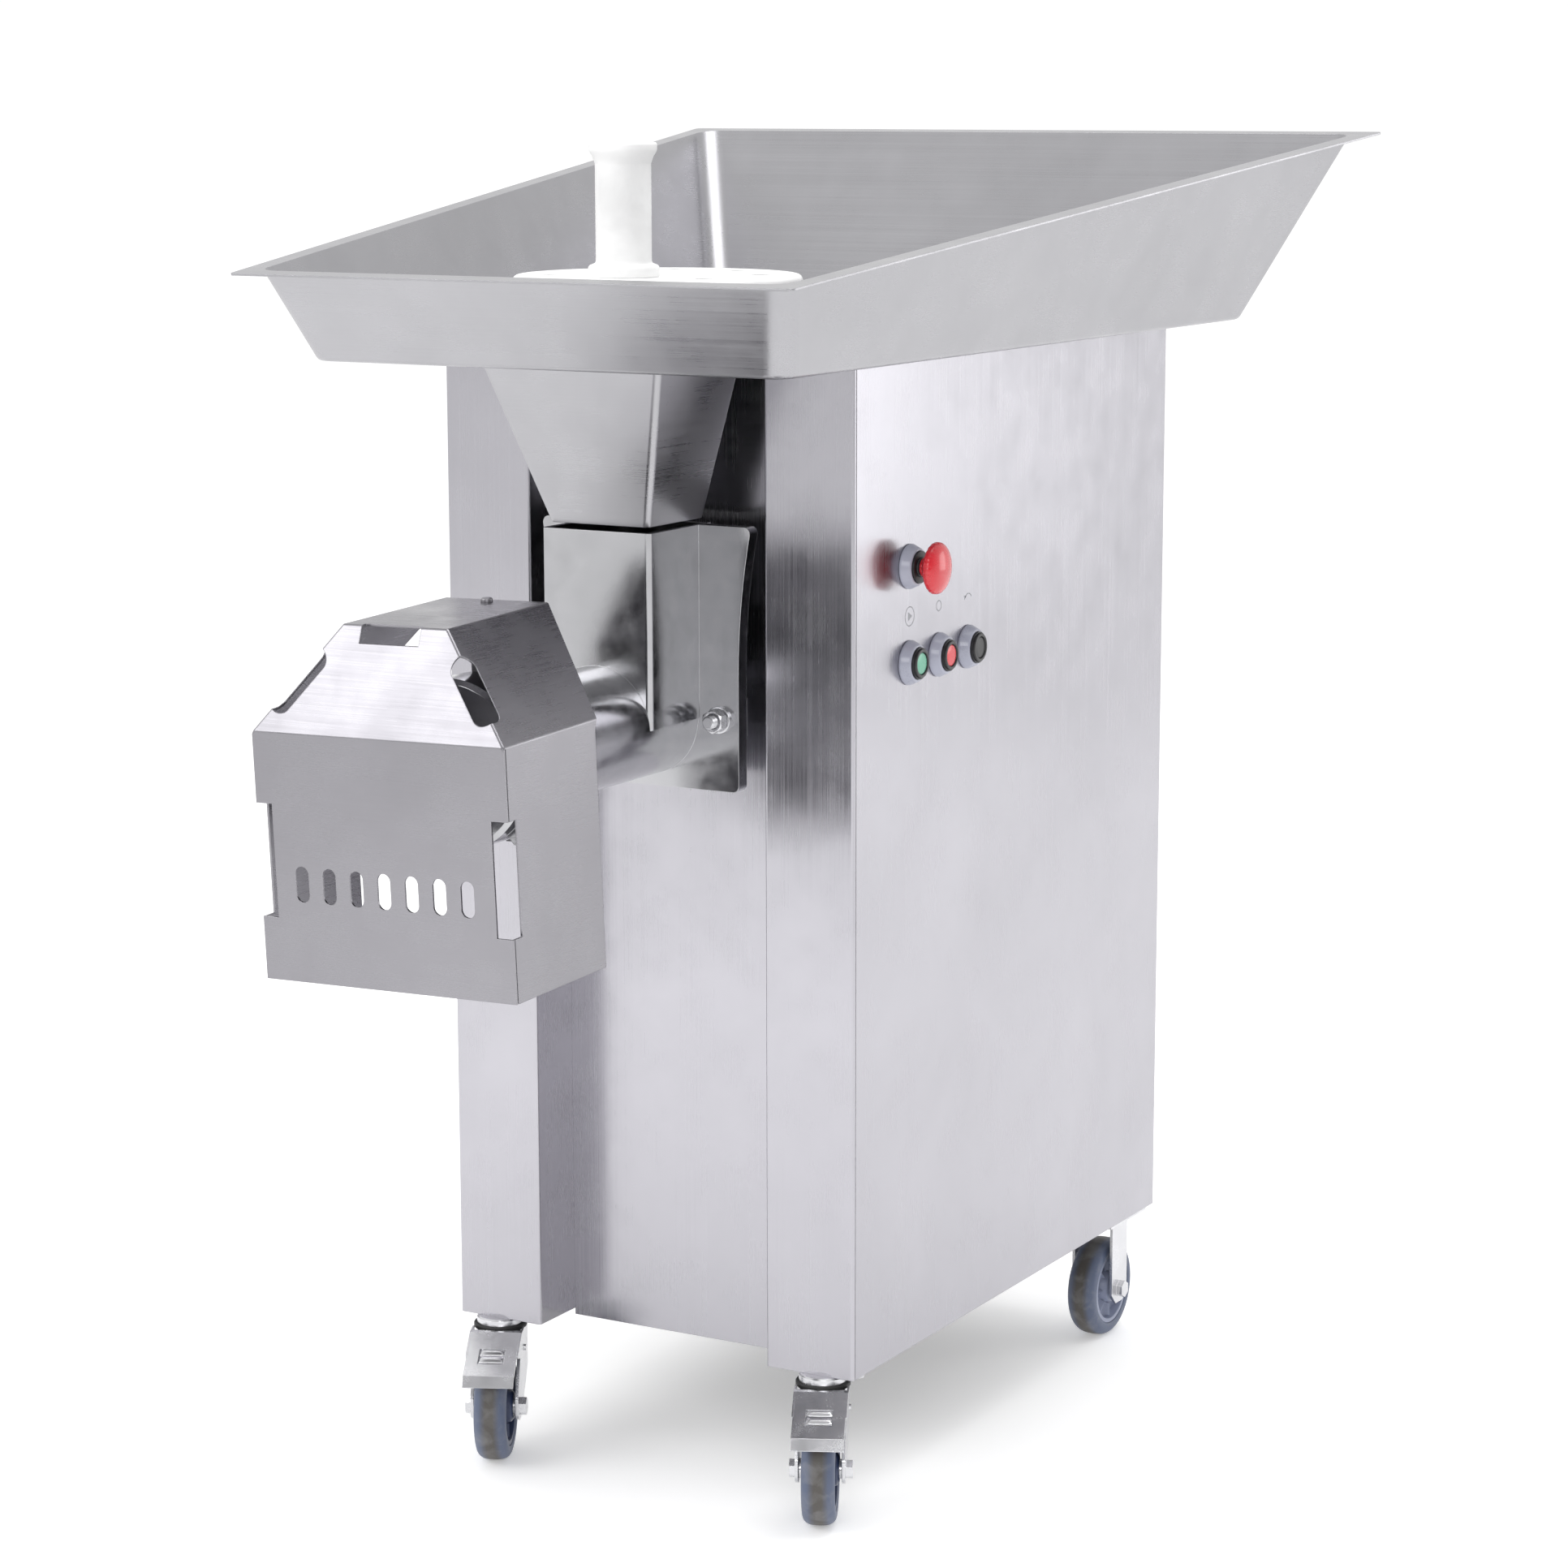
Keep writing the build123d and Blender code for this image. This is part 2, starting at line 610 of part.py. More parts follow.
def ring_nut():
    profile = [
        (RING_FRONT, 45), (RING_FRONT, RING_R - 4), (RING_FRONT + 4, RING_R),
        (-260, RING_R), (-257, RING_R - 3), (-257, MOUTH_R + CLEAR),
        (MOUTH_FRONT - 1.2, MOUTH_R + CLEAR), (MOUTH_FRONT - 1.2, 45),
    ]
    nut = turned_y(profile, 0, AXIS_Z)
    lug = Pos(RING_R + 2, 0, 0) * Box(16, 20, 26)
    for angle in range(45, 360, 90):
        placed = Pos(0, -278, AXIS_Z) * Rot(0, angle, 0) * Rot(90, 0, 0) * lug
        nut += placed - cyl_y(RING_R - 2, -320, -240, 0, AXIS_Z)
    return one(nut)


# ---- gearbox and motor ---------------------------------------------------------------------

def gear(teeth, front, bore, z, turn):
    pitch_r = GEAR_MODULE * teeth / 2
    root_r = pitch_r - 1.25 * GEAR_MODULE
    tip_r = pitch_r + GEAR_MODULE
    pitch_angle = 360 / teeth
    thick = pitch_angle / 4 - math.degrees(0.18 / pitch_r)
    root = thick * 1.75
    tip = thick * 0.42

    def at(radius, angle):
        return radius * math.cos(math.radians(angle)), radius * math.sin(math.radians(angle))

    outline = []
    for index in range(teeth):
        middle = index * pitch_angle
        outline += [at(root_r, middle - root), at(pitch_r, middle - thick), at(tip_r, middle - tip)]
        outline += [at(tip_r, middle + tip), at(pitch_r, middle + thick), at(root_r, middle + root)]
    blank = make_face(Polyline(*outline, close=True)) - Circle(bore)
    solid = extrude(blank, GEAR_FACE)
    return Pos(0, front + GEAR_FACE, z) * Rot(90, 0, 0) * Rot(0, 0, turn) * solid


def drive_gear():
    wheel = gear(DRIVE_TEETH, GEAR_FRONT, SHAFT_R, AXIS_Z, 0)
    for face_y in (GEAR_FRONT - 1, GEAR_FRONT + GEAR_FACE - 7):
        wheel -= cyl_y(74, face_y, face_y + 8, 0, AXIS_Z) - cyl_y(34, face_y, face_y + 8, 0, AXIS_Z)
    return one(wheel)


def pinion():
    # a tooth of the drive gear points down at the pinion, so the pinion turns half a tooth
    return one(gear(PINION_TEETH, GEAR_FRONT, MOTOR_SHAFT_R, MOTOR_Z, 180 / PINION_TEETH + 90))


def gearbox_block(front, rear, inset):
    low = MOTOR_Z - 34 + inset
    high = AXIS_Z + GEARBOX_HALF - inset
    side = GEARBOX_HALF - inset
    foot = 52 - inset
    outline = [(-side, AXIS_Z), (-foot, low), (foot, low), (side, AXIS_Z), (side, high), (-side, high)]
    shape = front_plate(outline, front, rear)
    return fillet(shape.edges().filter_by(Axis.Y), 16.0 - inset)


def gearbox_housing():
    wall = 8.0
    shell = gearbox_block(GEARBOX_FRONT, GEARBOX_REAR, 0)
    shell -= gearbox_block(GEARBOX_FRONT + wall, GEARBOX_REAR + 1, wall)
    shell += cyl_y(44, GEARBOX_FRONT + 7, GEARBOX_FRONT + 22, 0, AXIS_Z)
    shell -= cyl_y(BEARING_R, GEARBOX_FRONT + 6, GEARBOX_FRONT + 23, 0, AXIS_Z)
    return one(shell - cyl_y(24, GEARBOX_FRONT - 1, GEARBOX_FRONT + 8, 0, AXIS_Z))


def gearbox_cover():
    cover = gearbox_block(GEARBOX_REAR, MOTOR_FRONT, 0)
    cover += cyl_y(42, GEARBOX_REAR - 14, GEARBOX_REAR, 0, AXIS_Z)
    cover -= cyl_y(BEARING_R, GEARBOX_REAR - 15, GEARBOX_REAR + 2, 0, AXIS_Z)
    return one(cover - cyl_y(MOTOR_SHAFT_R + 2, GEARBOX_REAR - 2, MOTOR_FRONT + 1, 0, MOTOR_Z))


def output_shaft():
    shaft = cyl_y(SHAFT_R - 1, GEARBOX_REAR - 15, GEARBOX_REAR + 1, 0, AXIS_Z)
    shaft += cyl_y(SHAFT_R, WORM_REAR, GEARBOX_REAR - 14, 0, AXIS_Z)
    return one(shaft)


def shaft_bearings():
    places = ((GEARBOX_FRONT + 6, SHAFT_R), (GEARBOX_REAR - 14, SHAFT_R - 1))
    rings = []
    for front, inner in places:
        ring = cyl_y(BEARING_R, front, front + BEARING_W, 0, AXIS_Z)
        ring -= cyl_y(inner + CLEAR, front - 1, front + BEARING_W + 1, 0, AXIS_Z)
        for face in (front - 1, front + BEARING_W - 1):
            ring -= cyl_y(27, face, face + 2, 0, AXIS_Z) - cyl_y(22, face, face + 2, 0, AXIS_Z)
        rings.append(ring)
    return group(rings)


def shaft_seal():
    seal = cyl_y(24, GEARBOX_FRONT - 1, GEARBOX_FRONT + 6, 0, AXIS_Z)
    seal -= cyl_y(SHAFT_R + CLEAR, GEARBOX_FRONT - 2, GEARBOX_FRONT + 7, 0, AXIS_Z)
    return one(seal)


def motor_housing():
    shell = cyl_y(MOTOR_R, MOTOR_FRONT, MOTOR_REAR, 0, MOTOR_Z)
    fin = block(-1.5, 1.5, MOTOR_FRONT + 14, MOTOR_REAR - 6, MOTOR_R - 2, MOTOR_R + 7)
    for angle in range(0, 360, 15):
        shell += Pos(0, 0, MOTOR_Z) * Rot(0, angle, 0) * fin
    shell += block(-34, 34, MOTOR_FRONT + 40, MOTOR_FRONT + 120, MOTOR_Z + 70, MOTOR_Z + 106)
    shell -= cyl_y(48, MOTOR_FRONT + 12, MOTOR_REAR + 1, 0, MOTOR_Z)
    return one(shell - cyl_y(MOTOR_SHAFT_R + CLEAR, MOTOR_FRONT - 1, MOTOR_FRONT + 13, 0, MOTOR_Z))


def motor_end_covers():
    return group([end_shield(), fan_cover()])


def end_shield():
    shield = cyl_y(MOTOR_R, MOTOR_REAR, MOTOR_REAR + 10, 0, MOTOR_Z)
    shield = fillet(shield.edges().group_by(Axis.Y)[-1], 4.0)
    shield += cyl_y(47.8, MOTOR_REAR - 6, MOTOR_REAR, 0, MOTOR_Z)
    return one(shield - cyl_y(MOTOR_SHAFT_R + CLEAR, MOTOR_REAR - 7, MOTOR_REAR + 11, 0, MOTOR_Z))


def motor_rotor():
    rotor = cyl_y(47, MOTOR_FRONT + 26, MOTOR_REAR - 20, 0, MOTOR_Z)
    rotor = chamfer(rotor.edges(), 3.0)
    return one(rotor + cyl_y(MOTOR_SHAFT_R, GEAR_FRONT - 4, MOTOR_REAR + 36, 0, MOTOR_Z))


def motor_fan():
    front = MOTOR_REAR + 14
    fan = cyl_y(22, front, front + 20, 0, MOTOR_Z) + cyl_y(58, front, front + 3, 0, MOTOR_Z)
    blade = block(-1.2, 1.2, front + 2, front + 18, 18, 58)
    for angle in range(0, 360, 45):
        fan += Pos(0, 0, MOTOR_Z) * Rot(0, angle, 0) * blade
    return one(fan - cyl_y(MOTOR_SHAFT_R, front - 1, front + 21, 0, MOTOR_Z))


def fan_cover():
    front = MOTOR_REAR + 10
    cover = cyl_y(MOTOR_R, front, front + 34, 0, MOTOR_Z)
    cover = fillet(cover.edges().group_by(Axis.Y)[-1], 3.0)
    cover -= cyl_y(MOTOR_R - 2, front - 1, front + 32, 0, MOTOR_Z)
    slot = Rot(90, 0, 0) * extrude(SlotOverall(32, 6), 20)
    for angle in range(0, 360, 30):
        opening = Rot(0, angle, 0) * Pos(42, front + 40, 0) * slot
        cover -= Pos(0, 0, MOTOR_Z) * opening
    return one(cover)


def electrical_box():
    box = block(60, 196, 330, 470, 800, 960)
    box = fillet(box.edges().filter_by(Axis.X), 6.0)
    box -= block(52, 194, 333, 467, 803, 957)
    back = CAB_W / 2 - SHEET
    for y, z in ((345, 815), (455, 815), (345, 945), (455, 945)):
        box += cyl_x(6, 195, back, y, z)
    return one(box)


# ---- guard ---------------------------------------------------------------------------------

def hang(shape):
    drooped = Pos(0, HINGE_Y, HINGE_Z) * Rot(GUARD_DROOP, 0, 0) * shape
    return turn_on_barrel(drooped)


def turn_on_barrel(shape):
    return Pos(0, 0, AXIS_Z) * Rot(0, GUARD_ROLL, 0) * Pos(0, 0, -AXIS_Z) * shape


def guard_planes():
    half, roof_half = GUARD_HALF, GUARD_ROOF_HALF
    eave, roof = GUARD_EAVE_Z, GUARD_ROOF_Z
    front, roof_front = GUARD_FRONT, GUARD_ROOF_FRONT
    planes = [
        Plane(origin=(0, 0, roof), z_dir=(0, 0, 1)),
        Plane(origin=(0, front, 0), z_dir=(0, -1, 0)),
        plane_through((0, front, eave), (1, front, eave), (0, roof_front, roof)),
    ]
    for side in (-1, 1):
        planes.append(Plane(origin=(side * half, 0, 0), z_dir=(side, 0, 0)))
        slope = Vector(roof - eave, 0, half - roof_half).normalized()
        planes.append(Plane(origin=(side * half, 0, eave), z_dir=(side * slope.X, 0, slope.Z)))
    return planes


def guard_shell():
    blank = block(-300, 300, -400, GUARD_ROOF_REAR, GUARD_BOTTOM_Z, 200)
    outside = keep_inside(blank, guard_planes())
    around = [edge for edge in outside.edges() if edge.center().Z > GUARD_EAVE_Z - 1
              and edge.center().Y < GUARD_ROOF_REAR - 1]
    outside = fillet(around, 2.6)
    inside = keep_inside(block(-300, 300, -400, 50, GUARD_BOTTOM_Z - 9, 200), guard_planes(), SHEET)
    shell = outside - inside
    rear = [(GUARD_SIDE_REAR, -400), (GUARD_SIDE_REAR, GUARD_EAVE_Z - 6),
            (GUARD_ROOF_REAR, GUARD_ROOF_Z - 1), (60, GUARD_ROOF_Z - 1), (60, -400)]
    shell -= side_plate(rear, -200, 200)
    for side in (-1, 1):
        shell -= corner_cuts(side)
    shell -= block(-32, 26, GUARD_ROOF_FRONT - 9, GUARD_ROOF_FRONT + 6, 0, GUARD_ROOF_Z + 5)
    window = Rot(90, 0, 0) * extrude(SlotOverall(30, 13), 30)
    for index in range(7):
        x = 27.0 * (index - 3)
        shell -= Pos(x, GUARD_FRONT + 10, GUARD_SLOT_Z) * Rot(0, 90, 0) * window
    return one(hang(shell - cyl_z(3.1, 0, 20, 0, -10)))


def corner_cuts(side):
    corner = side * GUARD_HALF
    seam_low, seam_high = sorted((corner - side * 3.5, corner + side))
    cut = block(seam_low, seam_high, GUARD_FRONT + SHEET, GUARD_FRONT + SHEET + 1.2,
                GUARD_BOTTOM_Z - 1, GUARD_EAVE_Z - 1)
    notch_low, notch_high = sorted((corner - side * 15.5, corner + side))
    cut += block(notch_low, notch_high, GUARD_FRONT - 1, GUARD_FRONT + 13.5, -226, -131)
    edge_start = Vector(side * GUARD_HALF, GUARD_FRONT, GUARD_EAVE_Z)
    edge_end = Vector(side * GUARD_ROOF_HALF, GUARD_ROOF_FRONT, GUARD_ROOF_Z)
    along = (edge_end - edge_start).normalized()
    middle = (edge_start + edge_end) * 0.5 + along * -1
    outward = Vector(side * 0.62, -0.62, 0.48)
    outward = (outward - along * outward.dot(along)).normalized()
    plane = Plane(origin=middle + outward * -25, x_dir=along, z_dir=outward)
    return cut + extrude(plane * SlotOverall(66, 21), 50)


def guard_hinge_leaf():
    under = GUARD_ROOF_Z - SHEET
    leaf = block(-24, 24, -34, 2, under - 3, under)
    leaf = fillet(leaf.edges().filter_by(Axis.Z), 4.0)
    leaf += block(-9.7, 9.7, -7, 7, 3, under - 2.9) + cyl_x(7, -9.7, 9.7, 0, 0)
    leaf -= cyl_x(4 + CLEAR, -30, 30, 0, 0)
    leaf -= cyl_z(3.1, 0, 20, 0, -10)
    bolt = cyl_z(3, 7.2, GUARD_ROOF_Z, 0, -10)
    head = cyl_z(5, GUARD_ROOF_Z, GUARD_ROOF_Z + 4, 0, -10)
    head = fillet(head.edges().group_by(Axis.Z)[-1], 1.8)
    return group([hang(leaf), hang(bolt + head)])


def hinge_pin():
    return cyl_x(4, -23, 23, HINGE_Y, HINGE_Z) + cyl_x(6, 23, 26, HINGE_Y, HINGE_Z)


def guard_bracket():
    ring = cyl_y(60, -234, -212, 0, AXIS_Z)
    ring += block(-22, 22, HINGE_Y - 4, HINGE_Y + 4, AXIS_Z + 40, HINGE_Z - 9)
    ring += block(-9, 9, -232, -214, AXIS_Z - 76, AXIS_Z - 50)
    for x0 in (-22, 10):
        ring += block(x0, x0 + 12, HINGE_Y - 4, HINGE_Y + 4, HINGE_Z - 10, HINGE_Z)
        ring += cyl_x(7, x0, x0 + 12, HINGE_Y, HINGE_Z)
    ring -= cyl_y(BARREL_R, -250, -200, 0, AXIS_Z)
    ring -= block(-1.5, 1.5, -250, -200, AXIS_Z - 80, AXIS_Z - 40)
    ring -= cyl_x(4, -30, 30, HINGE_Y, HINGE_Z)
    return group([turn_on_barrel(ring), turn_on_barrel(hinge_pin())])


# ---- controls ------------------------------------------------------------------------------

def control_places():
    return [ESTOP] + [(y, BUTTON_Z) for y in BUTTONS.values()]


def button_bezels():
    face = CAB_W / 2
    section = [(0, 14.3), (0, BEZEL_R), (2, BEZEL_R), (9, 16.6), (10, 15.6), (10, 14.3)]
    profile = [(face + x, radius) for x, radius in section]
    return group([turned_x(profile, y, z) for y, z in control_places()])


def button_collars():
    face = CAB_W / 2
    collars = []
    for index, (y, z) in enumerate(control_places()):
        bore = 8.8 if index == 0 else BUTTON_R + 0.3
        profile = [(face - 14, 8.8), (face - 14, 11.1), (face, 11.1), (face, 14.2), (face + 12, 14.2),
                   (face + 12, bore)]
        profile += [] if index == 0 else [(face + 1, bore), (face + 1, 8.8)]
        collars.append(turned_x(profile, y, z))
    return group(collars)


def contact_blocks():
    back = CAB_W / 2 - SHEET
    blocks = []
    for y, z in control_places():
        body = block(back - 52, back - 3, y - 15, y + 15, z - 18, z + 18)
        body = fillet(body.edges().filter_by(Axis.X), 2.0)
        body += cyl_x(14, back - 4, back, y, z)
        body -= cyl_x(11.2, back - 20, back + 1, y, z)
        blocks.append(body - cyl_x(7.5, back - 24, back, y, z))
    return group(blocks)


def push_button(y):
    face = CAB_W / 2
    profile = [
        (face + 5, 0), (face + 5, BUTTON_R), (face + 13, BUTTON_R), (face + 14, BUTTON_R - 1),
        (face + 14, 6), (face + 13.4, 0),
    ]
    cap = turned_x(profile, y, BUTTON_Z)
    return one(cap + cyl_x(5, face - 16, face + 6, y, BUTTON_Z))


def estop_plunger():
    face = CAB_W / 2
    y, z = ESTOP
    return one(cyl_x(8.5, face - 13, face + 18, y, z) + cyl_x(6, face + 17, face + 28, y, z)
               + cyl_x(5, face - 16, face - 12, y, z))


def estop_mushroom():
    face = CAB_W / 2
    y, z = ESTOP
    rear = face + 18.1
    rim = [(rear, 6 + CLEAR), (rear, 15), (rear + 5, MUSHROOM_R - 1), (rear + 7, MUSHROOM_R)]
    rim += [(rear + 9.5, MUSHROOM_R)]
    dome = [(rear + 9.5 + 8.5 * math.sin(math.radians(a)), MUSHROOM_R * math.cos(math.radians(a)))
            for a in range(12, 90, 13)]
    front = [(rear + 18, 0), (rear + 10.2, 0), (rear + 10.2, 6 + CLEAR)]
    return one(turned_x(rim + dome + front, y, z))


# ---- casters -------------------------------------------------------------------------------

def wheel_centre(position):
    side, axle = position
    if axle == "rear":
        return side * REAR_WHEEL_X, REAR_WHEEL_Y, 0.0
    lead = math.radians(SWIVEL_ANGLE)
    x = side * SWIVEL_X + TRAIL * math.sin(lead)
    return x, SWIVEL_Y - TRAIL * math.cos(lead), SWIVEL_ANGLE


def place_wheel(shape, position):
    x, y, turn = wheel_centre(position)
    return Pos(x, y, WHEEL_R) * Rot(0, 0, turn) * shape


def tyre(position):
    half = TYRE_W / 2
    profile = [(-half, 37), (-half, 43), (-half + 3.5, 48.2), (-half + 8, WHEEL_R - 0.4), (-3, WHEEL_R)]
    profile += [(-x, r) for x, r in reversed(profile)]
    return one(place_wheel(turned_x(profile, 0, 0), position))


def hub(position):
    half = TYRE_W / 2
    profile = [
        (-17, AXLE_R + CLEAR), (-17, 13), (-half + 1, 15), (-6, 17), (-6, 31), (-half + 1, 33),
        (-half + 1, 37), (half - 1, 37), (half - 1, 33), (6, 31), (6, 17), (half - 1, 15),
        (17, 13), (17, AXLE_R + CLEAR),
    ]
    return one(place_wheel(turned_x(profile, 0, 0), position))


def front_caster_stems():
    stems = []
    for side in (-1, 1):
        x = side * SWIVEL_X
        stem = cyl_z(AXLE_R, CAB_BOTTOM, CAB_BOTTOM + 16, x, SWIVEL_Y)
        race = cyl_z(22, CAB_BOTTOM - 8.5, CAB_BOTTOM, x, SWIVEL_Y)
        nut = hex_z(17, CAB_BOTTOM + 6, CAB_BOTTOM + 14, x, SWIVEL_Y)
        stems.append(stem + chamfer(race.edges(), 1.5) + nut)
    return group(stems)


def place_fork(shape, side):
    return Pos(side * SWIVEL_X, SWIVEL_Y, 0) * Rot(0, 0, SWIVEL_ANGLE) * shape


def caster_fork(side):
    top = CAB_BOTTOM - 9
    leg = [(22, top - 6), (22, 74), (-22, 38), (-36, 36), (-47, 42), (-48, 60), (-20, top - 6)]
    fork = cyl_z(23, top - 9, top, 0, 0)
    fork += block(-22.5, 22.5, -20, 22, top - 9, top - 6)
    for x0 in (-22.5, 19.5):
        plate = side_plate(leg, x0, x0 + 3)
        lower = [edge for edge in plate.edges().filter_by(Axis.X) if edge.center().Z < 100]
        fork += fillet(lower, 7.0)
    fork -= cyl_x(PEDAL_PIN_R + CLEAR, -30, 30, PEDAL_Y, PEDAL_Z)
    fork -= cyl_x(AXLE_R, -30, 30, -TRAIL, WHEEL_R)
    axle = cyl_x(AXLE_R, -24, 26, -TRAIL, WHEEL_R)
    axle += hex_x(15, -28, -22.5, -TRAIL, WHEEL_R) + hex_x(15, 22.5, 29, -TRAIL, WHEEL_R)
    return group([place_fork(fork, side), place_fork(axle, side)])


def brake_pedal(side):
    tread = [
        (-25, 117), (-30, 117), (-82, 92), (-88, 84),
        (-90, 85), (-84, 94.6), (-31, 119.5), (-25, 119.5),
    ]
    pedal = side_plate(tread, -23.5, 23.5)
    pedal -= Pos(0, -58, 100) * Rot(25.7, 0, 0) * Box(24, 20, 30)
    ear = [
        (-12, 119.5), (-31, 119.5), (-60, 106), (-58, 103),
        (-26, 94), (-14, 91), (-8, 96), (-8, 112),
    ]
    for x0 in (-24.5, 22.8):
        pedal += side_plate(ear, x0, x0 + 1.7)
    pin = cyl_x(PEDAL_PIN_R, -26, 26, PEDAL_Y, PEDAL_Z)
    pedal -= cyl_x(PEDAL_PIN_R, -27, 27, PEDAL_Y, PEDAL_Z)
    return group([place_fork(pedal, side), place_fork(pin, side)])


def rear_caster_brackets():
    parts = []
    for side in (-1, 1):
        x, y = side * REAR_WHEEL_X, REAR_WHEEL_Y
        bracket = block(x - 32, x + 32, y - 42, y + 42, CAB_BOTTOM - 4, CAB_BOTTOM)
        for x0 in (x - 22.5, x + 19.5):
            leg = [(-17.5, CAB_BOTTOM - 4), (-17.5, 46), (-8, 36)]
            leg += [(-along, z) for along, z in reversed(leg)]
            bracket += side_plate([(y + along, z) for along, z in leg], x0, x0 + 3)
        bracket -= cyl_x(AXLE_R, x - 30, x + 30, y, WHEEL_R)
        axle = cyl_x(AXLE_R, x - 24, x + 26, y, WHEEL_R)
        axle += hex_x(15, x - 28, x - 22.5, y, WHEEL_R) + hex_x(15, x + 22.5, x + 29, y, WHEEL_R)
        parts += [bracket, axle]
    return group(parts)


# ---- the whole machine ---------------------------------------------------------------------

def build():
    parts = {
        "base_frame": base_frame(),
        "front_post_left": front_post(-1),
        "front_post_right": front_post(1),
        "side_panel_left": side_panel(-1),
        "side_panel_right": side_panel(1),
        "recess_panel": recess_panel(),
        "top_deck": top_deck(),
        "rear_panel": rear_panel(),
        "panel_screws": panel_screws(),
        "cable_gland": cable_gland(),
        "hopper_tray": hopper_tray(),
        "hopper_funnel": hopper_funnel(),
        "feed_disc": feed_disc(),
        "disc_posts": disc_posts(),
        "pusher": pusher(),
        "head_housing": head_housing(),
        "mounting_flange": mounting_flange(),
        "head_lock_bolts": head_lock_bolts(),
        "worm": worm(),
        "kidney_plate": kidney_plate(),
        "knife": knife(),
        "mincing_plate": mincing_plate(),
        "ring_nut": ring_nut(),
        "drive_gear": drive_gear(),
        "pinion": pinion(),
        "gearbox_housing": gearbox_housing(),
        "gearbox_cover": gearbox_cover(),
        "output_shaft": output_shaft(),
        "shaft_bearings": shaft_bearings(),
        "shaft_seal": shaft_seal(),
        "motor_housing": motor_housing(),
        "motor_end_covers": motor_end_covers(),
        "motor_rotor": motor_rotor(),
        "motor_fan": motor_fan(),
        "electrical_box": electrical_box(),
        "guard_shell": guard_shell(),
        "guard_hinge_leaf": guard_hinge_leaf(),
        "guard_bracket": guard_bracket(),
        "button_bezels": button_bezels(),
        "button_collars": button_collars(),
        "contact_blocks": contact_blocks(),
        "estop_plunger": estop_plunger(),
        "estop_mushroom": estop_mushroom(),
        "front_caster_stems": front_caster_stems(),
        "rear_caster_brackets": rear_caster_brackets(),
    }
    for name, y in BUTTONS.items():
        parts[name] = push_button(y)
    for side, word in ((-1, "left"), (1, "right")):
        parts[f"caster_fork_{word}"] = caster_fork(side)
        parts[f"brake_pedal_{word}"] = brake_pedal(side)
        for axle in ("front", "rear"):
            parts[f"tyre_{axle}_{word}"] = tyre((side, axle))
            parts[f"hub_{axle}_{word}"] = hub((side, axle))
    return parts


def middle_y(parts):
    front = parts["guard_shell"].bounding_box().min.Y
    rear = parts["hopper_tray"].bounding_box().max.Y
    return (front + rear) / 2


parts = build()
shift = Pos(0, -middle_y(parts), 0)
os.makedirs("parts", exist_ok=True)
for name, shape in parts.items():
    export_step(shift * shape, f"parts/{name}.step")
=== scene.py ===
import json
import math

import bmesh
import bpy
from mathutils import Matrix, Vector


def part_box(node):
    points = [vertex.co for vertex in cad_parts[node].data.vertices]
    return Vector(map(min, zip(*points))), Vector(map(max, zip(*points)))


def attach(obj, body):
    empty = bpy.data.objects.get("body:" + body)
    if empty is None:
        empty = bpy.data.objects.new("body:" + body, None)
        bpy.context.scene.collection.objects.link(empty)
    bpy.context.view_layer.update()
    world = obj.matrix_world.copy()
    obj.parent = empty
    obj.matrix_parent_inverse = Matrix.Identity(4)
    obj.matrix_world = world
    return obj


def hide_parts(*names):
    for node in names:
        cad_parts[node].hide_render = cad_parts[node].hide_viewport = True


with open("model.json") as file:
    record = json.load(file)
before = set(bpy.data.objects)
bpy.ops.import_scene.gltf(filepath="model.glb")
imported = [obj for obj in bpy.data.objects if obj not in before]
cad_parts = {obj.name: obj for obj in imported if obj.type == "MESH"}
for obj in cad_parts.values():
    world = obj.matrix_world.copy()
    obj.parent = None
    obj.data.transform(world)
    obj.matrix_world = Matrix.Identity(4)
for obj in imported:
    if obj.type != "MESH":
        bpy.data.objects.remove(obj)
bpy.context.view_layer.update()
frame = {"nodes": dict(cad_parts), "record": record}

# Floor-standing meat grinder. Metres, +Z up, -Y to the front, controls on +X.
# Places are read from the CAD nodes' boxes, so nothing here repeats the cabinet's size.

MM = 0.001


def low(node):
    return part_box(node)[0]


def high(node):
    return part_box(node)[1]


def middle(node):
    return (low(node) + high(node)) / 2


CABINET_FRONT = low("front_post_right").y
PANEL_FACE = high("side_panel_right").x

# the front casters stand turned by this much round their swivel axes
FORK_TURN = math.radians(25.5)


# ---- materials -----------------------------------------------------------------------------

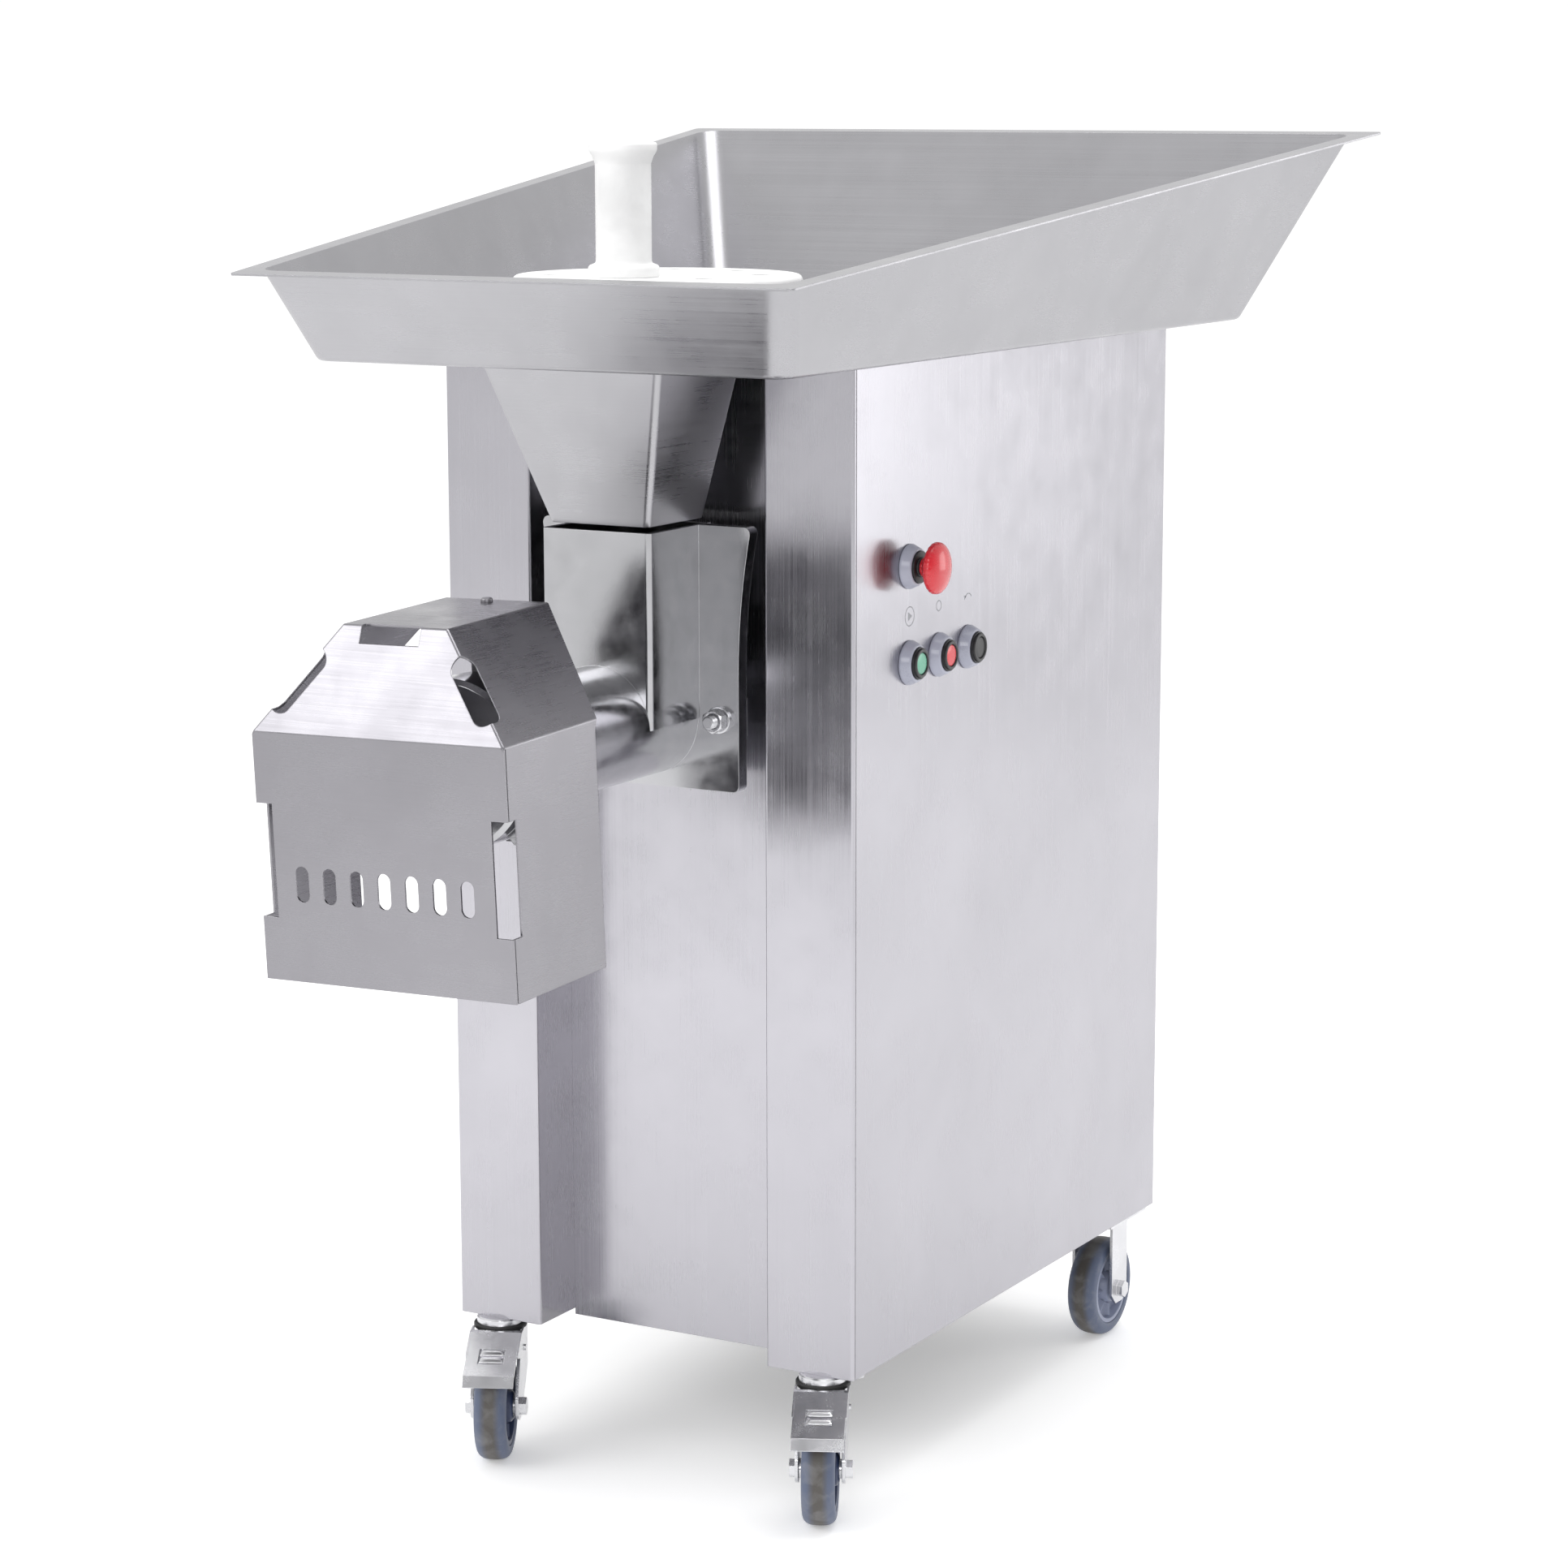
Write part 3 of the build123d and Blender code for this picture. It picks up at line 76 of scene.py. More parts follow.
class Nodes:
    """A short way to write one material's node tree."""

    def __init__(self, name):
        self.material = bpy.data.materials.new(name)
        self.material.use_nodes = True
        self.tree = self.material.node_tree
        self.shader = self.tree.nodes["Principled BSDF"]

    def add(self, kind, links=None, **values):
        node = self.tree.nodes.new(kind)
        for key, value in values.items():
            if hasattr(node, key):
                setattr(node, key, value)
            else:
                node.inputs[key.replace("_", " ")].default_value = value
        for key, source in (links or {}).items():
            self.link(source, node.inputs[key])
        return node

    def link(self, source, target):
        self.tree.links.new(source, target)

    def place(self, scale):
        coords = self.add("ShaderNodeTexCoord")
        mapping = self.add("ShaderNodeMapping", {"Vector": coords.outputs["Object"]})
        mapping.inputs["Scale"].default_value = scale
        return mapping.outputs["Vector"]

    def noise(self, scale, detail=3.0, roughness=0.5, distortion=0.0):
        """Noise with its own scale along each axis, 0 to 1."""
        place = self.place(scale if isinstance(scale, tuple) else (scale,) * 3)
        node = self.add("ShaderNodeTexNoise", {"Vector": place}, Scale=1.0, Detail=detail,
                        Roughness=roughness, Distortion=distortion)
        return node.outputs["Fac"]

    def spread(self, value, low_in, high_in, low_out, high_out):
        node = self.add("ShaderNodeMapRange", {"Value": value})
        for key, number in (("From Min", low_in), ("From Max", high_in),
                            ("To Min", low_out), ("To Max", high_out)):
            node.inputs[key].default_value = number
        return node.outputs["Result"]

    def math(self, operation, first, second):
        node = self.add("ShaderNodeMath", operation=operation)
        for index, value in enumerate((first, second)):
            if isinstance(value, (int, float)):
                node.inputs[index].default_value = value
            else:
                self.link(value, node.inputs[index])
        return node.outputs[0]

    def mix(self, share, first, second):
        node = self.add("ShaderNodeMix", data_type="RGBA")
        sockets = (node.inputs[0], node.inputs[6], node.inputs[7])
        for socket, value in zip(sockets, (share, first, second)):
            if isinstance(value, (int, float)):
                socket.default_value = value
            elif isinstance(value, tuple):
                socket.default_value = (*value, 1.0)
            else:
                self.link(value, socket)
        return node.outputs[2]

    def bump(self, height, strength, distance, normal=None):
        links = {"Height": height}
        if normal is not None:
            links["Normal"] = normal
        node = self.add("ShaderNodeBump", links, Strength=strength, Distance=distance)
        return node.outputs["Normal"]

    def rounded(self, radius):
        return self.add("ShaderNodeBevel", samples=4, Radius=radius).outputs["Normal"]

    def edges(self, radius):
        """1 near a sharp edge, 0 on the flat."""
        bevel = self.rounded(radius)
        geometry = self.add("ShaderNodeNewGeometry")
        dot = self.add("ShaderNodeVectorMath", operation="DOT_PRODUCT")
        self.link(bevel, dot.inputs[0])
        self.link(geometry.outputs["Normal"], dot.inputs[1])
        return self.spread(dot.outputs["Value"], 0.93, 0.999, 1.0, 0.0)


def scaled(colour, factor, extra=0.0):
    return tuple(min(1.0, channel * factor + extra) for channel in colour)


def grain_of(nodes, direction, fine, long):
    """Brush marks that run along X, Y or Z, or round the four sides for 'walls'."""
    if direction != "walls":
        scale = tuple(long if axis == direction else fine for axis in "XYZ")
        return nodes.noise(scale, detail=2.0, roughness=0.6)
    along_y = nodes.noise((fine, long, fine), detail=2.0, roughness=0.6)
    along_x = nodes.noise((long, fine, fine), detail=2.0, roughness=0.6)
    geometry = nodes.add("ShaderNodeNewGeometry")
    parts = nodes.add("ShaderNodeSeparateXYZ", {"Vector": geometry.outputs["Normal"]})
    sideways = nodes.math("GREATER_THAN", nodes.math("ABSOLUTE", parts.outputs["X"], 0.0),
                          nodes.math("ABSOLUTE", parts.outputs["Y"], 0.0))
    picked = nodes.add("ShaderNodeMix", data_type="FLOAT")
    nodes.link(sideways, picked.inputs[0])
    nodes.link(along_x, picked.inputs[2])
    nodes.link(along_y, picked.inputs[3])
    return picked.outputs[0]


def sheet_steel(name, colour, rough, direction="Z", fine=900.0, long=2.2, marks=0.02, edge=0.0010):
    """Ground stainless sheet: brush grain, handling haze and bright worn edges."""
    nodes = Nodes(name)
    grain = grain_of(nodes, direction, fine, long)
    haze = nodes.noise(5.0, detail=4.0, roughness=0.55, distortion=0.6)
    blotch = nodes.noise(23.0, detail=3.0)
    worn = nodes.edges(edge)
    tone = nodes.mix(nodes.spread(haze, 0.3, 0.7, 0.0, 1.0), scaled(colour, 0.90), colour)
    tone = nodes.mix(nodes.spread(grain, 0.25, 0.75, 0.0, 0.45), tone, scaled(colour, 1.07))
    tone = nodes.mix(nodes.math("MULTIPLY", worn, 0.45), tone, scaled(colour, 1.35))
    nodes.link(tone, nodes.shader.inputs["Base Color"])
    wide = nodes.spread(blotch, 0.3, 0.7, rough - 0.03, rough + 0.05)
    fine_rough = nodes.spread(grain, 0.3, 0.7, -0.04, 0.05)
    nodes.link(nodes.math("ADD", wide, fine_rough), nodes.shader.inputs["Roughness"])
    nodes.link(nodes.bump(grain, marks, 0.0004, nodes.rounded(edge)), nodes.shader.inputs["Normal"])
    nodes.shader.inputs["Metallic"].default_value = 1.0
    nodes.shader.inputs["Anisotropic"].default_value = 0.35
    return nodes.material


def machined_steel(name, colour, rough, scale=160.0, marks=0.12, edge=0.0008, stain=0.15):
    """Cast, turned or plated metal: fine pitting, cloudy tone, bright edges."""
    nodes = Nodes(name)
    fine = nodes.noise(scale * 6, detail=3.0)
    cloud = nodes.noise(scale * 0.25, detail=4.0, distortion=0.4)
    worn = nodes.edges(edge)
    tone = nodes.mix(nodes.spread(cloud, 0.32, 0.68, 0.0, 1.0), scaled(colour, 1 - stain), colour)
    tone = nodes.mix(nodes.math("MULTIPLY", worn, 0.5), tone, scaled(colour, 1.4))
    nodes.link(tone, nodes.shader.inputs["Base Color"])
    wide = nodes.spread(cloud, 0.3, 0.7, rough - 0.04, rough + 0.07)
    nodes.link(nodes.math("ADD", wide, nodes.spread(fine, 0.3, 0.7, -0.03, 0.03)),
               nodes.shader.inputs["Roughness"])
    nodes.link(nodes.bump(fine, marks, 0.0003, nodes.rounded(edge)), nodes.shader.inputs["Normal"])
    nodes.shader.inputs["Metallic"].default_value = 1.0
    return nodes.material


def moulded(name, colour, rough, grain=900.0, marks=0.08, edge=0.0006, coat=0.0, wear=0.25):
    """Plastic, paint or rubber: fine mould texture, faint tone change, lighter rubbed edges."""
    nodes = Nodes(name)
    fine = nodes.noise(grain, detail=2.0)
    cloud = nodes.noise(26.0, detail=4.0, distortion=0.3)
    worn = nodes.edges(edge)
    tone = nodes.mix(nodes.spread(cloud, 0.3, 0.7, 0.0, 1.0), scaled(colour, 0.86), colour)
    tone = nodes.mix(nodes.math("MULTIPLY", worn, wear), tone, scaled(colour, 1.25, 0.03))
    nodes.link(tone, nodes.shader.inputs["Base Color"])
    wide = nodes.spread(cloud, 0.3, 0.7, rough - 0.05, rough + 0.06)
    nodes.link(nodes.math("ADD", wide, nodes.spread(fine, 0.3, 0.7, -0.03, 0.04)),
               nodes.shader.inputs["Roughness"])
    nodes.link(nodes.bump(fine, marks, 0.0002, nodes.rounded(edge)), nodes.shader.inputs["Normal"])
    nodes.shader.inputs["Coat Weight"].default_value = coat
    return nodes.material


def tyre_rubber(name, edge_colour, tread_colour):
    """Grey rubber whose tread is browner than its shoulders, with a dusty, slightly pitted skin."""
    nodes = Nodes(name)
    dust = nodes.noise(70.0, detail=5.0, distortion=0.5)
    fine = nodes.noise(1400.0, detail=2.0)
    tread = nodes.add("ShaderNodeAttribute", attribute_name="tread").outputs["Fac"]
    tone = nodes.mix(tread, edge_colour, tread_colour)
    tone = nodes.mix(nodes.spread(dust, 0.45, 0.75, 0.0, 0.35), tone, (0.30, 0.30, 0.31))
    nodes.link(tone, nodes.shader.inputs["Base Color"])
    nodes.link(nodes.spread(dust, 0.3, 0.7, 0.42, 0.60), nodes.shader.inputs["Roughness"])
    nodes.link(nodes.bump(nodes.math("ADD", fine, dust), 0.15, 0.0004), nodes.shader.inputs["Normal"])
    return nodes.material


MATERIALS = {
    "cabinet_steel": sheet_steel("cabinet_steel", (0.435, 0.427, 0.458), 0.22),
    "hopper_steel": sheet_steel("hopper_steel", (0.375, 0.372, 0.388), 0.30, direction="walls"),
    "guard_steel": sheet_steel("guard_steel", (0.275, 0.269, 0.288), 0.28, direction="walls", long=4.0),
    "frame_steel": sheet_steel("frame_steel", (0.40, 0.40, 0.42), 0.42, direction="Y"),
    "head_steel": machined_steel("head_steel", (0.46, 0.46, 0.475), 0.15, marks=0.05, stain=0.10),
    "cutting_steel": machined_steel("cutting_steel", (0.50, 0.50, 0.52), 0.26),
    "gear_steel": machined_steel("gear_steel", (0.34, 0.33, 0.32), 0.34, stain=0.3),
    "fastener_steel": machined_steel("fastener_steel", (0.55, 0.55, 0.57), 0.24, edge=0.0004),
    "zinc_steel": machined_steel("zinc_steel", (0.66, 0.66, 0.68), 0.22, marks=0.05, edge=0.0006,
                                 stain=0.10),
    "gearbox_cast": moulded("gearbox_cast", (0.13, 0.14, 0.155), 0.55, grain=350.0, marks=0.5),
    "motor_alloy": machined_steel("motor_alloy", (0.33, 0.34, 0.36), 0.45, marks=0.35),
    "white_plastic": moulded("white_plastic", (0.97, 0.97, 0.965), 0.42, marks=0.10, wear=0.1),
    "black_plastic": moulded("black_plastic", (0.012, 0.012, 0.014), 0.34),
    "bezel_plastic": moulded("bezel_plastic", (0.36, 0.37, 0.45), 0.30, coat=0.3),
    "red_plastic": moulded("red_plastic", (0.62, 0.010, 0.022), 0.26, coat=0.4, wear=0.15),
    "green_plastic": moulded("green_plastic", (0.10, 0.40, 0.26), 0.30, coat=0.3, wear=0.15),
    "grey_plastic": moulded("grey_plastic", (0.30, 0.31, 0.33), 0.50, marks=0.3),
    "seal_rubber": moulded("seal_rubber", (0.02, 0.02, 0.02), 0.6),
    "tyre_rubber": tyre_rubber("tyre_rubber", (0.095, 0.118, 0.185), (0.080, 0.073, 0.066)),
    "hub_blue": moulded("hub_blue", (0.030, 0.045, 0.105), 0.34),
    "hub_pale": moulded("hub_pale", (0.28, 0.31, 0.42), 0.38),
}


def dress_cad():
    """Every CAD node that is still shown takes its slot's procedural material."""
    slot_of = {part["node"]: part["material_slot"] for part in frame["record"]["subparts"]}
    for name, node in frame["nodes"].items():
        material = MATERIALS[slot_of[name]]
        for index in range(len(node.material_slots)):
            node.material_slots[index].material = material


# ---- mesh helpers --------------------------------------------------------------------------

def new_piece(name, vertices, faces, slot, body, sharp=35.0):
    """A smooth-shaded object that rides with body; edges bent by more than sharp degrees stay crisp."""
    mesh = bpy.data.meshes.new(name)
    mesh.from_pydata([tuple(v) for v in vertices], [], faces)
    mesh.validate()
    mesh.update()
    mesh.shade_smooth()
    mesh.set_sharp_from_angle(angle=math.radians(sharp))
    piece = bpy.data.objects.new(name, mesh)
    bpy.context.scene.collection.objects.link(piece)
    mesh.materials.append(MATERIALS[slot])
    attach(piece, body)
    return piece


def in_metres(section):
    """(height, radius) pairs given in millimetres."""
    return [(height * MM, radius * MM) for height, radius in section]


def frame_along(axis):
    """A matrix whose Z column lies along axis."""
    return Vector(axis).normalized().to_track_quat("Z", "Y").to_matrix().to_4x4()


def lathe(name, rings, centre, axis, slot, body, around=96, shape=None, sharp=35.0):
    """Turned piece. rings are (height, radius) pairs along axis from centre; a radius of 0 closes
    an end. shape(angle, height, radius) may change a point's radius and height."""
    place = Matrix.Translation(centre) @ frame_along(axis)
    vertices, faces, start = [], [], []
    for height, radius in rings:
        start.append((len(vertices), radius == 0))
        count = 1 if radius == 0 else around
        for index in range(count):
            angle = 2 * math.pi * index / around
            r, h = (radius, height) if shape is None or radius == 0 else shape(angle, height, radius)
            vertices.append(place @ Vector((r * math.cos(angle), r * math.sin(angle), h)))
    closed = rings[0] == rings[-1]
    for ring in range(len(rings) - 1):
        (a, a_point), (b, b_point) = start[ring], start[ring + 1]
        for index in range(around):
            after = (index + 1) % around
            if a_point and b_point:
                continue
            if a_point:
                faces.append((a, b + after, b + index))
            elif b_point:
                faces.append((a + index, a + after, b))
            else:
                faces.append((a + index, a + after, b + after, b + index))
    piece = new_piece(name, vertices, faces, slot, body, sharp)
    tidy_mesh(piece, merge=closed)
    return piece


def tidy_mesh(piece, merge=True):
    """Joins points that meet and turns the faces outwards."""
    work = bmesh.new()
    work.from_mesh(piece.data)
    if merge:
        bmesh.ops.remove_doubles(work, verts=work.verts, dist=1e-7)
    bmesh.ops.recalc_face_normals(work, faces=work.faces)
    work.to_mesh(piece.data)
    work.free()


def arc_points(centre, radius, start, end, count):
    """Points of a circular arc as (height, radius) pairs; angles in degrees from the height axis."""
    points = []
    for index in range(count + 1):
        angle = math.radians(start + (end - start) * index / count)
        points.append((centre[0] + radius * math.cos(angle), centre[1] + radius * math.sin(angle)))
    return points


def plate(name, outline, place, thickness, slot, body):
    """Flat plate from an outline in its own X and Y, thickened along its own Z."""
    count = len(outline)
    vertices = [place @ Vector((x, y, 0)) for x, y in outline]
    vertices += [place @ Vector((x, y, thickness)) for x, y in outline]
    faces = [tuple(reversed(range(count))), tuple(range(count, 2 * count))]
    faces += [(i, (i + 1) % count, count + (i + 1) % count, count + i) for i in range(count)]
    piece = new_piece(name, vertices, faces, slot, body, 30.0)
    tidy_mesh(piece, merge=False)
    return piece


def hex_radius(angle, across):
    """Distance from a hexagon's middle to its side, in the direction of angle."""
    sector = (angle + math.pi / 6) % (math.pi / 3) - math.pi / 6
    return across / 2 / math.cos(sector)


def nut(name, centre, axis, across, height, bore, slot, body, chamfer=0.0007):
    """Hexagon nut with turned chamfers on both faces and a countersunk bore."""
    flat = across / 2
    corner, rim, mouth = across / math.sqrt(3), flat * 0.95, bore * 1.12

    def shape(angle, level, radius):
        if radius < flat * 0.93:
            return radius, level
        side = hex_radius(angle, across)
        depth = max(0.0, side - flat * 0.97) * 0.55
        if level <= chamfer * 0.5 or level >= height - chamfer * 0.5:
            return min(side, rim), level
        near_low = level < height / 2
        return side, (depth + chamfer * 0.3 if near_low else height - depth - chamfer * 0.3)

    rings = [(0, mouth), (0, rim), (chamfer, corner), (height - chamfer, corner), (height, rim),
             (height, mouth), (height - bore * 0.1, bore), (bore * 0.1, bore), (0, mouth)]
    return lathe(name, rings, centre, axis, slot, body, around=72, shape=shape, sharp=25.0)


# ---- camera, light and floor ---------------------------------------------------------------

def make_camera():
    # it stands to the right of the front right corner and a little above the tray
    offset = Vector((1.5997, -2.9404, 1.2702))
    yaw, pitch, roll = (math.radians(angle) for angle in (29.58, -10.19, -0.11))
    data = bpy.data.cameras.new("camera")
    data.sensor_width = 36.0
    data.lens = 90.19
    data.clip_end = 60.0
    camera = bpy.data.objects.new("camera", data)
    bpy.context.scene.collection.objects.link(camera)
    camera.rotation_mode = "QUATERNION"
    turn = Matrix.Rotation(yaw, 4, "Z") @ Matrix.Rotation(math.pi / 2 + pitch, 4, "X")
    turn = turn @ Matrix.Rotation(roll, 4, "Z")
    camera.location = Vector((PANEL_FACE, CABINET_FRONT, 0)) + offset
    camera.rotation_quaternion = turn.to_quaternion()
    bpy.context.scene.camera = camera


def soft_box(name, direction, distance, size, radiance):
    """Rectangular light aimed at the machine; radiance is what a mirror would show of it."""
    data = bpy.data.lights.new(name, "AREA")
    data.shape = "RECTANGLE"
    data.size, data.size_y = size
    data.energy = radiance * math.pi * size[0] * size[1]
    light = bpy.data.objects.new(name, data)
    bpy.context.scene.collection.objects.link(light)
    aim = Vector((0, -0.1, 0.7))
    light.location = aim + Vector(direction).normalized() * distance
    light.rotation_mode = "QUATERNION"
    light.rotation_quaternion = (aim - light.location).to_track_quat("-Z", "Y")


def make_world():
    """Pale studio tent, with a darker room in front and on the right."""
    world = bpy.data.worlds.new("studio")
    world.use_nodes = True
    bpy.context.scene.world = world
    tree = world.node_tree
    background = tree.nodes["Background"]
    coords = tree.nodes.new("ShaderNodeTexCoord")
    towards = tree.nodes.new("ShaderNodeVectorMath")
    towards.operation = "DOT_PRODUCT"
    towards.inputs[1].default_value = (0.74, -0.67, 0.0)
    ramp = tree.nodes.new("ShaderNodeValToRGB")
    tree.links.new(coords.outputs["Generated"], towards.inputs[0])
    tree.links.new(towards.outputs["Value"], ramp.inputs["Fac"])
    tree.links.new(ramp.outputs["Color"], background.inputs["Color"])
    ramp.color_ramp.elements[0].position = 0.15
    ramp.color_ramp.elements[0].color = (1.0, 1.0, 1.0, 1.0)
    ramp.color_ramp.elements[1].position = 0.75
    ramp.color_ramp.elements[1].color = (0.36, 0.36, 0.37, 1.0)
    background.inputs["Strength"].default_value = 1.02


def make_floor():
    # wide enough that its far edge lies on the horizon, and slightly glowing to match the tent
    half = 60.0
    mesh = bpy.data.meshes.new("floor")
    corners = [(-half, -half, 0), (half, -half, 0), (half, half, 0), (-half, half, 0)]
    mesh.from_pydata(corners, [], [(0, 1, 2, 3)])
    floor = bpy.data.objects.new("floor", mesh)
    bpy.context.scene.collection.objects.link(floor)
    nodes = Nodes("floor_paint")
    cloud = nodes.noise(1.3, detail=3.0)
    tone = nodes.mix(nodes.spread(cloud, 0.3, 0.7, 0.0, 1.0), (0.94, 0.94, 0.94), (0.96, 0.96, 0.96))
    nodes.link(tone, nodes.shader.inputs["Base Color"])
    nodes.shader.inputs["Roughness"].default_value = 0.9
    nodes.shader.inputs["Specular IOR Level"].default_value = 0.1
    nodes.shader.inputs["Emission Color"].default_value = (1.0, 1.0, 1.0, 1.0)
    nodes.shader.inputs["Emission Strength"].default_value = 0.28
    mesh.materials.append(nodes.material)


def make_studio():
    make_camera()
    make_world()
    make_floor()
    # the key lights the left flank and the front; the others lift the back, the top and the head
    soft_box("key_left", (-0.50, -0.74, 0.47), 4.2, (2.6, 1.5), 3.4)
    soft_box("rear_right", (0.65, 0.76, 0.07), 4.5, (1.4, 1.5), 2.3)
    soft_box("top", (0.1, 0.1, 1.0), 3.6, (2.6, 2.6), 3.2)
    soft_box("front_fill", (0.50, -0.80, 0.34), 5.0, (2.2, 1.8), 4.2)
    bpy.context.scene.view_settings.view_transform = "Standard"


# ---- fasteners and caster trim -------------------------------------------------------------

def make_lock_bolts():
    """Stud, washer and nut that hold the mincing head's flange on each side."""
    start, end = low("head_lock_bolts"), high("head_lock_bolts")
    inwards = Vector((0, 1, 0))
    washer_r = 12 * MM
    pitch, turns, crest, root = 1.5, 5, 6.0, 5.3
    nut_start, nut_width, nut_height, nut_bore = 7.05 * MM, 19 * MM, 10.4 * MM, 6.1 * MM
    thread = [(0.0, 0.0), (0.0, 4.6), (0.9, root)]
    for index in range(turns):
        along = index * pitch
        thread += [(1.2 + along, root), (1.7 + along, crest), (2.1 + along, crest)]
    thread += [(9.2, 5.4)]
    washer = [(17.5, 6.3), (17.5, 11.4), (17.9, 12.0), (19.9, 12.0), (20.0, 11.8), (20.0, 6.3), (17.5, 6.3)]
    for side, x in (("left", start.x + washer_r), ("right", end.x - washer_r)):
        front = Vector((x, start.y, middle("head_lock_bolts").z))
        length = end.y - start.y
        rings = in_metres(thread) + [(length, 5.4 * MM), (length, 0.0)]
        stud = lathe(f"lock_stud_{side}", rings, front, inwards, "fastener_steel", "root", around=48)
        disc = lathe(f"lock_washer_{side}", in_metres(washer), front, inwards,
                     "fastener_steel", "root", around=48)
        cap = nut(f"lock_nut_{side}", front + inwards * nut_start, inwards, nut_width, nut_height, nut_bore,
                  "fastener_steel", "root")
        for piece in (stud, disc, cap):
            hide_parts("head_lock_bolts")


def swivel_axis(side):
    """Where a front caster's swivel axis meets the floor."""
    race_r = 22 * MM
    start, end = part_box("front_caster_stems")
    x = start.x + race_r if side == "left" else end.x - race_r
    return Vector((x, middle("front_caster_stems").y, 0))


def make_raceways():
    """Dark seal round the ball race on top of each turning caster."""
    section = [(-2.4, 23.1), (-2.4, 24.2), (-1.8, 24.8), (1.2, 24.8), (2.2, 24.0), (2.2, 22.2),
               (0.4, 22.2), (0.4, 23.1), (-2.4, 23.1)]
    for side in ("left", "right"):
        top = swivel_axis(side) + Vector((0, 0, high(f"caster_fork_{side}").z))
        lathe(f"race_seal_{side}", in_metres(section), top,
              Vector((0, 0, 1)), "seal_rubber", f"caster_{side}", around=72)


def sheet_faces(columns, rows):
    """Faces of a closed sheet: a grid of points above, the same grid below and the rim between."""
    wide = columns + 1
    layer = wide * (rows + 1)
    faces = []
    for row in range(rows):
        for column in range(columns):
            a = row * wide + column
            faces.append((a, a + 1, a + wide + 1, a + wide))
            faces.append((layer + a, layer + a + wide, layer + a + wide + 1, layer + a + 1))
    rim = list(range(wide)) + [row * wide + columns for row in range(1, rows + 1)]
    rim += [rows * wide + column for column in range(columns - 1, -1, -1)]
    rim += [row * wide for row in range(rows - 1, 0, -1)]
    faces += [(a, layer + a, layer + b, b) for a, b in zip(rim, rim[1:] + rim[:1])]
    return faces


def make_pedal_tongues():
    """Pressed tongue with two ridges that fills the window in each brake pedal."""
    across, along, thick = 23.6, 19.6, 1.2
    floor_depth, ridge_height = 1.4, 1.7
    slope = math.radians(24.8)
    window = Vector((0, -57.6, 106.4))
    uphill = Vector((0, math.cos(slope), math.sin(slope)))
    outwards = Vector((0, -math.sin(slope), math.cos(slope)))
    columns, rows = 24, 40
    faces = sheet_faces(columns, rows)
    for side in ("left", "right"):
        place = Matrix.Translation(swivel_axis(side)) @ Matrix.Rotation(FORK_TURN, 4, "Z")
        vertices = []
        for below in (0.0, thick):
            for row in range(rows + 1):
                for column in range(columns + 1):
                    u, v = column / columns * 2 - 1, row / rows * 2 - 1
                    ridge = math.sin(math.pi * ((v + 1) % 1.0)) ** 2 * (1 - abs(u) ** 6)
                    height = ridge_height * ridge - floor_depth - below
                    point = window + Vector((u * across / 2, 0, 0))
                    point += uphill * (v * along / 2) + outwards * height
                    vertices.append(place @ (point * MM))
        new_piece(f"pedal_tongue_{side}", vertices, faces, "zinc_steel", f"brake_{side}", 40.0)


# ---- controls ------------------------------------------------------------------------------

OUT = Vector((1, 0, 0))


def control_centre(node):
    """Where a control's axis meets the side panel's face."""
    place = middle(node)
    return Vector((PANEL_FACE, place.y, place.z))


def make_bezels():
    section = [(0.0, 14.3), (0.0, 19.6), (0.5, 20.0), (1.9, 20.0), (2.5, 19.7), (8.4, 17.0),
               (9.6, 16.2), (10.0, 15.6), (10.0, 14.6), (9.7, 14.3), (0.0, 14.3)]
    rings = in_metres(section)
    for index, node in enumerate(("estop_mushroom", "start_button", "stop_button", "reverse_button")):
        piece = lathe(f"bezel_{index}", rings, control_centre(node), OUT, "bezel_plastic", "root")
        if index == 0:
            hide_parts("button_bezels")


def make_buttons():
    """Each cap is a black ring with a coloured lens let into it, a little below the ring's lip."""
    ring = [(5.0, 0.0), (5.0, 12.5), (5.4, 12.9), (13.0, 12.9), (13.7, 12.6), (14.0, 12.0),
            (14.0, 10.6), (13.8, 10.2), (12.2, 9.8), (12.0, 9.6), (12.0, 0.0)]
    lens = [(11.0, 0.0), (11.0, 9.5), (12.6, 9.5), (12.9, 9.2), (13.05, 8.6), (13.25, 5.0), (13.3, 0.0)]
    stem = [(-16, 0), (-16, 4.6), (-15.6, 5.0), (5.2, 5.0), (5.2, 0)]
    for node, slot in (("start_button", "green_plastic"), ("stop_button", "red_plastic"),
                       ("reverse_button", "black_plastic")):
        centre = control_centre(node)
        cap = lathe(f"{node}_ring", in_metres(ring), centre, OUT, "black_plastic", node)
        lathe(f"{node}_stem", in_metres(stem), centre, OUT, "black_plastic", node, 48)
        lathe(f"{node}_lens", in_metres(lens), centre, OUT, slot, node)
        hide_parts(node)


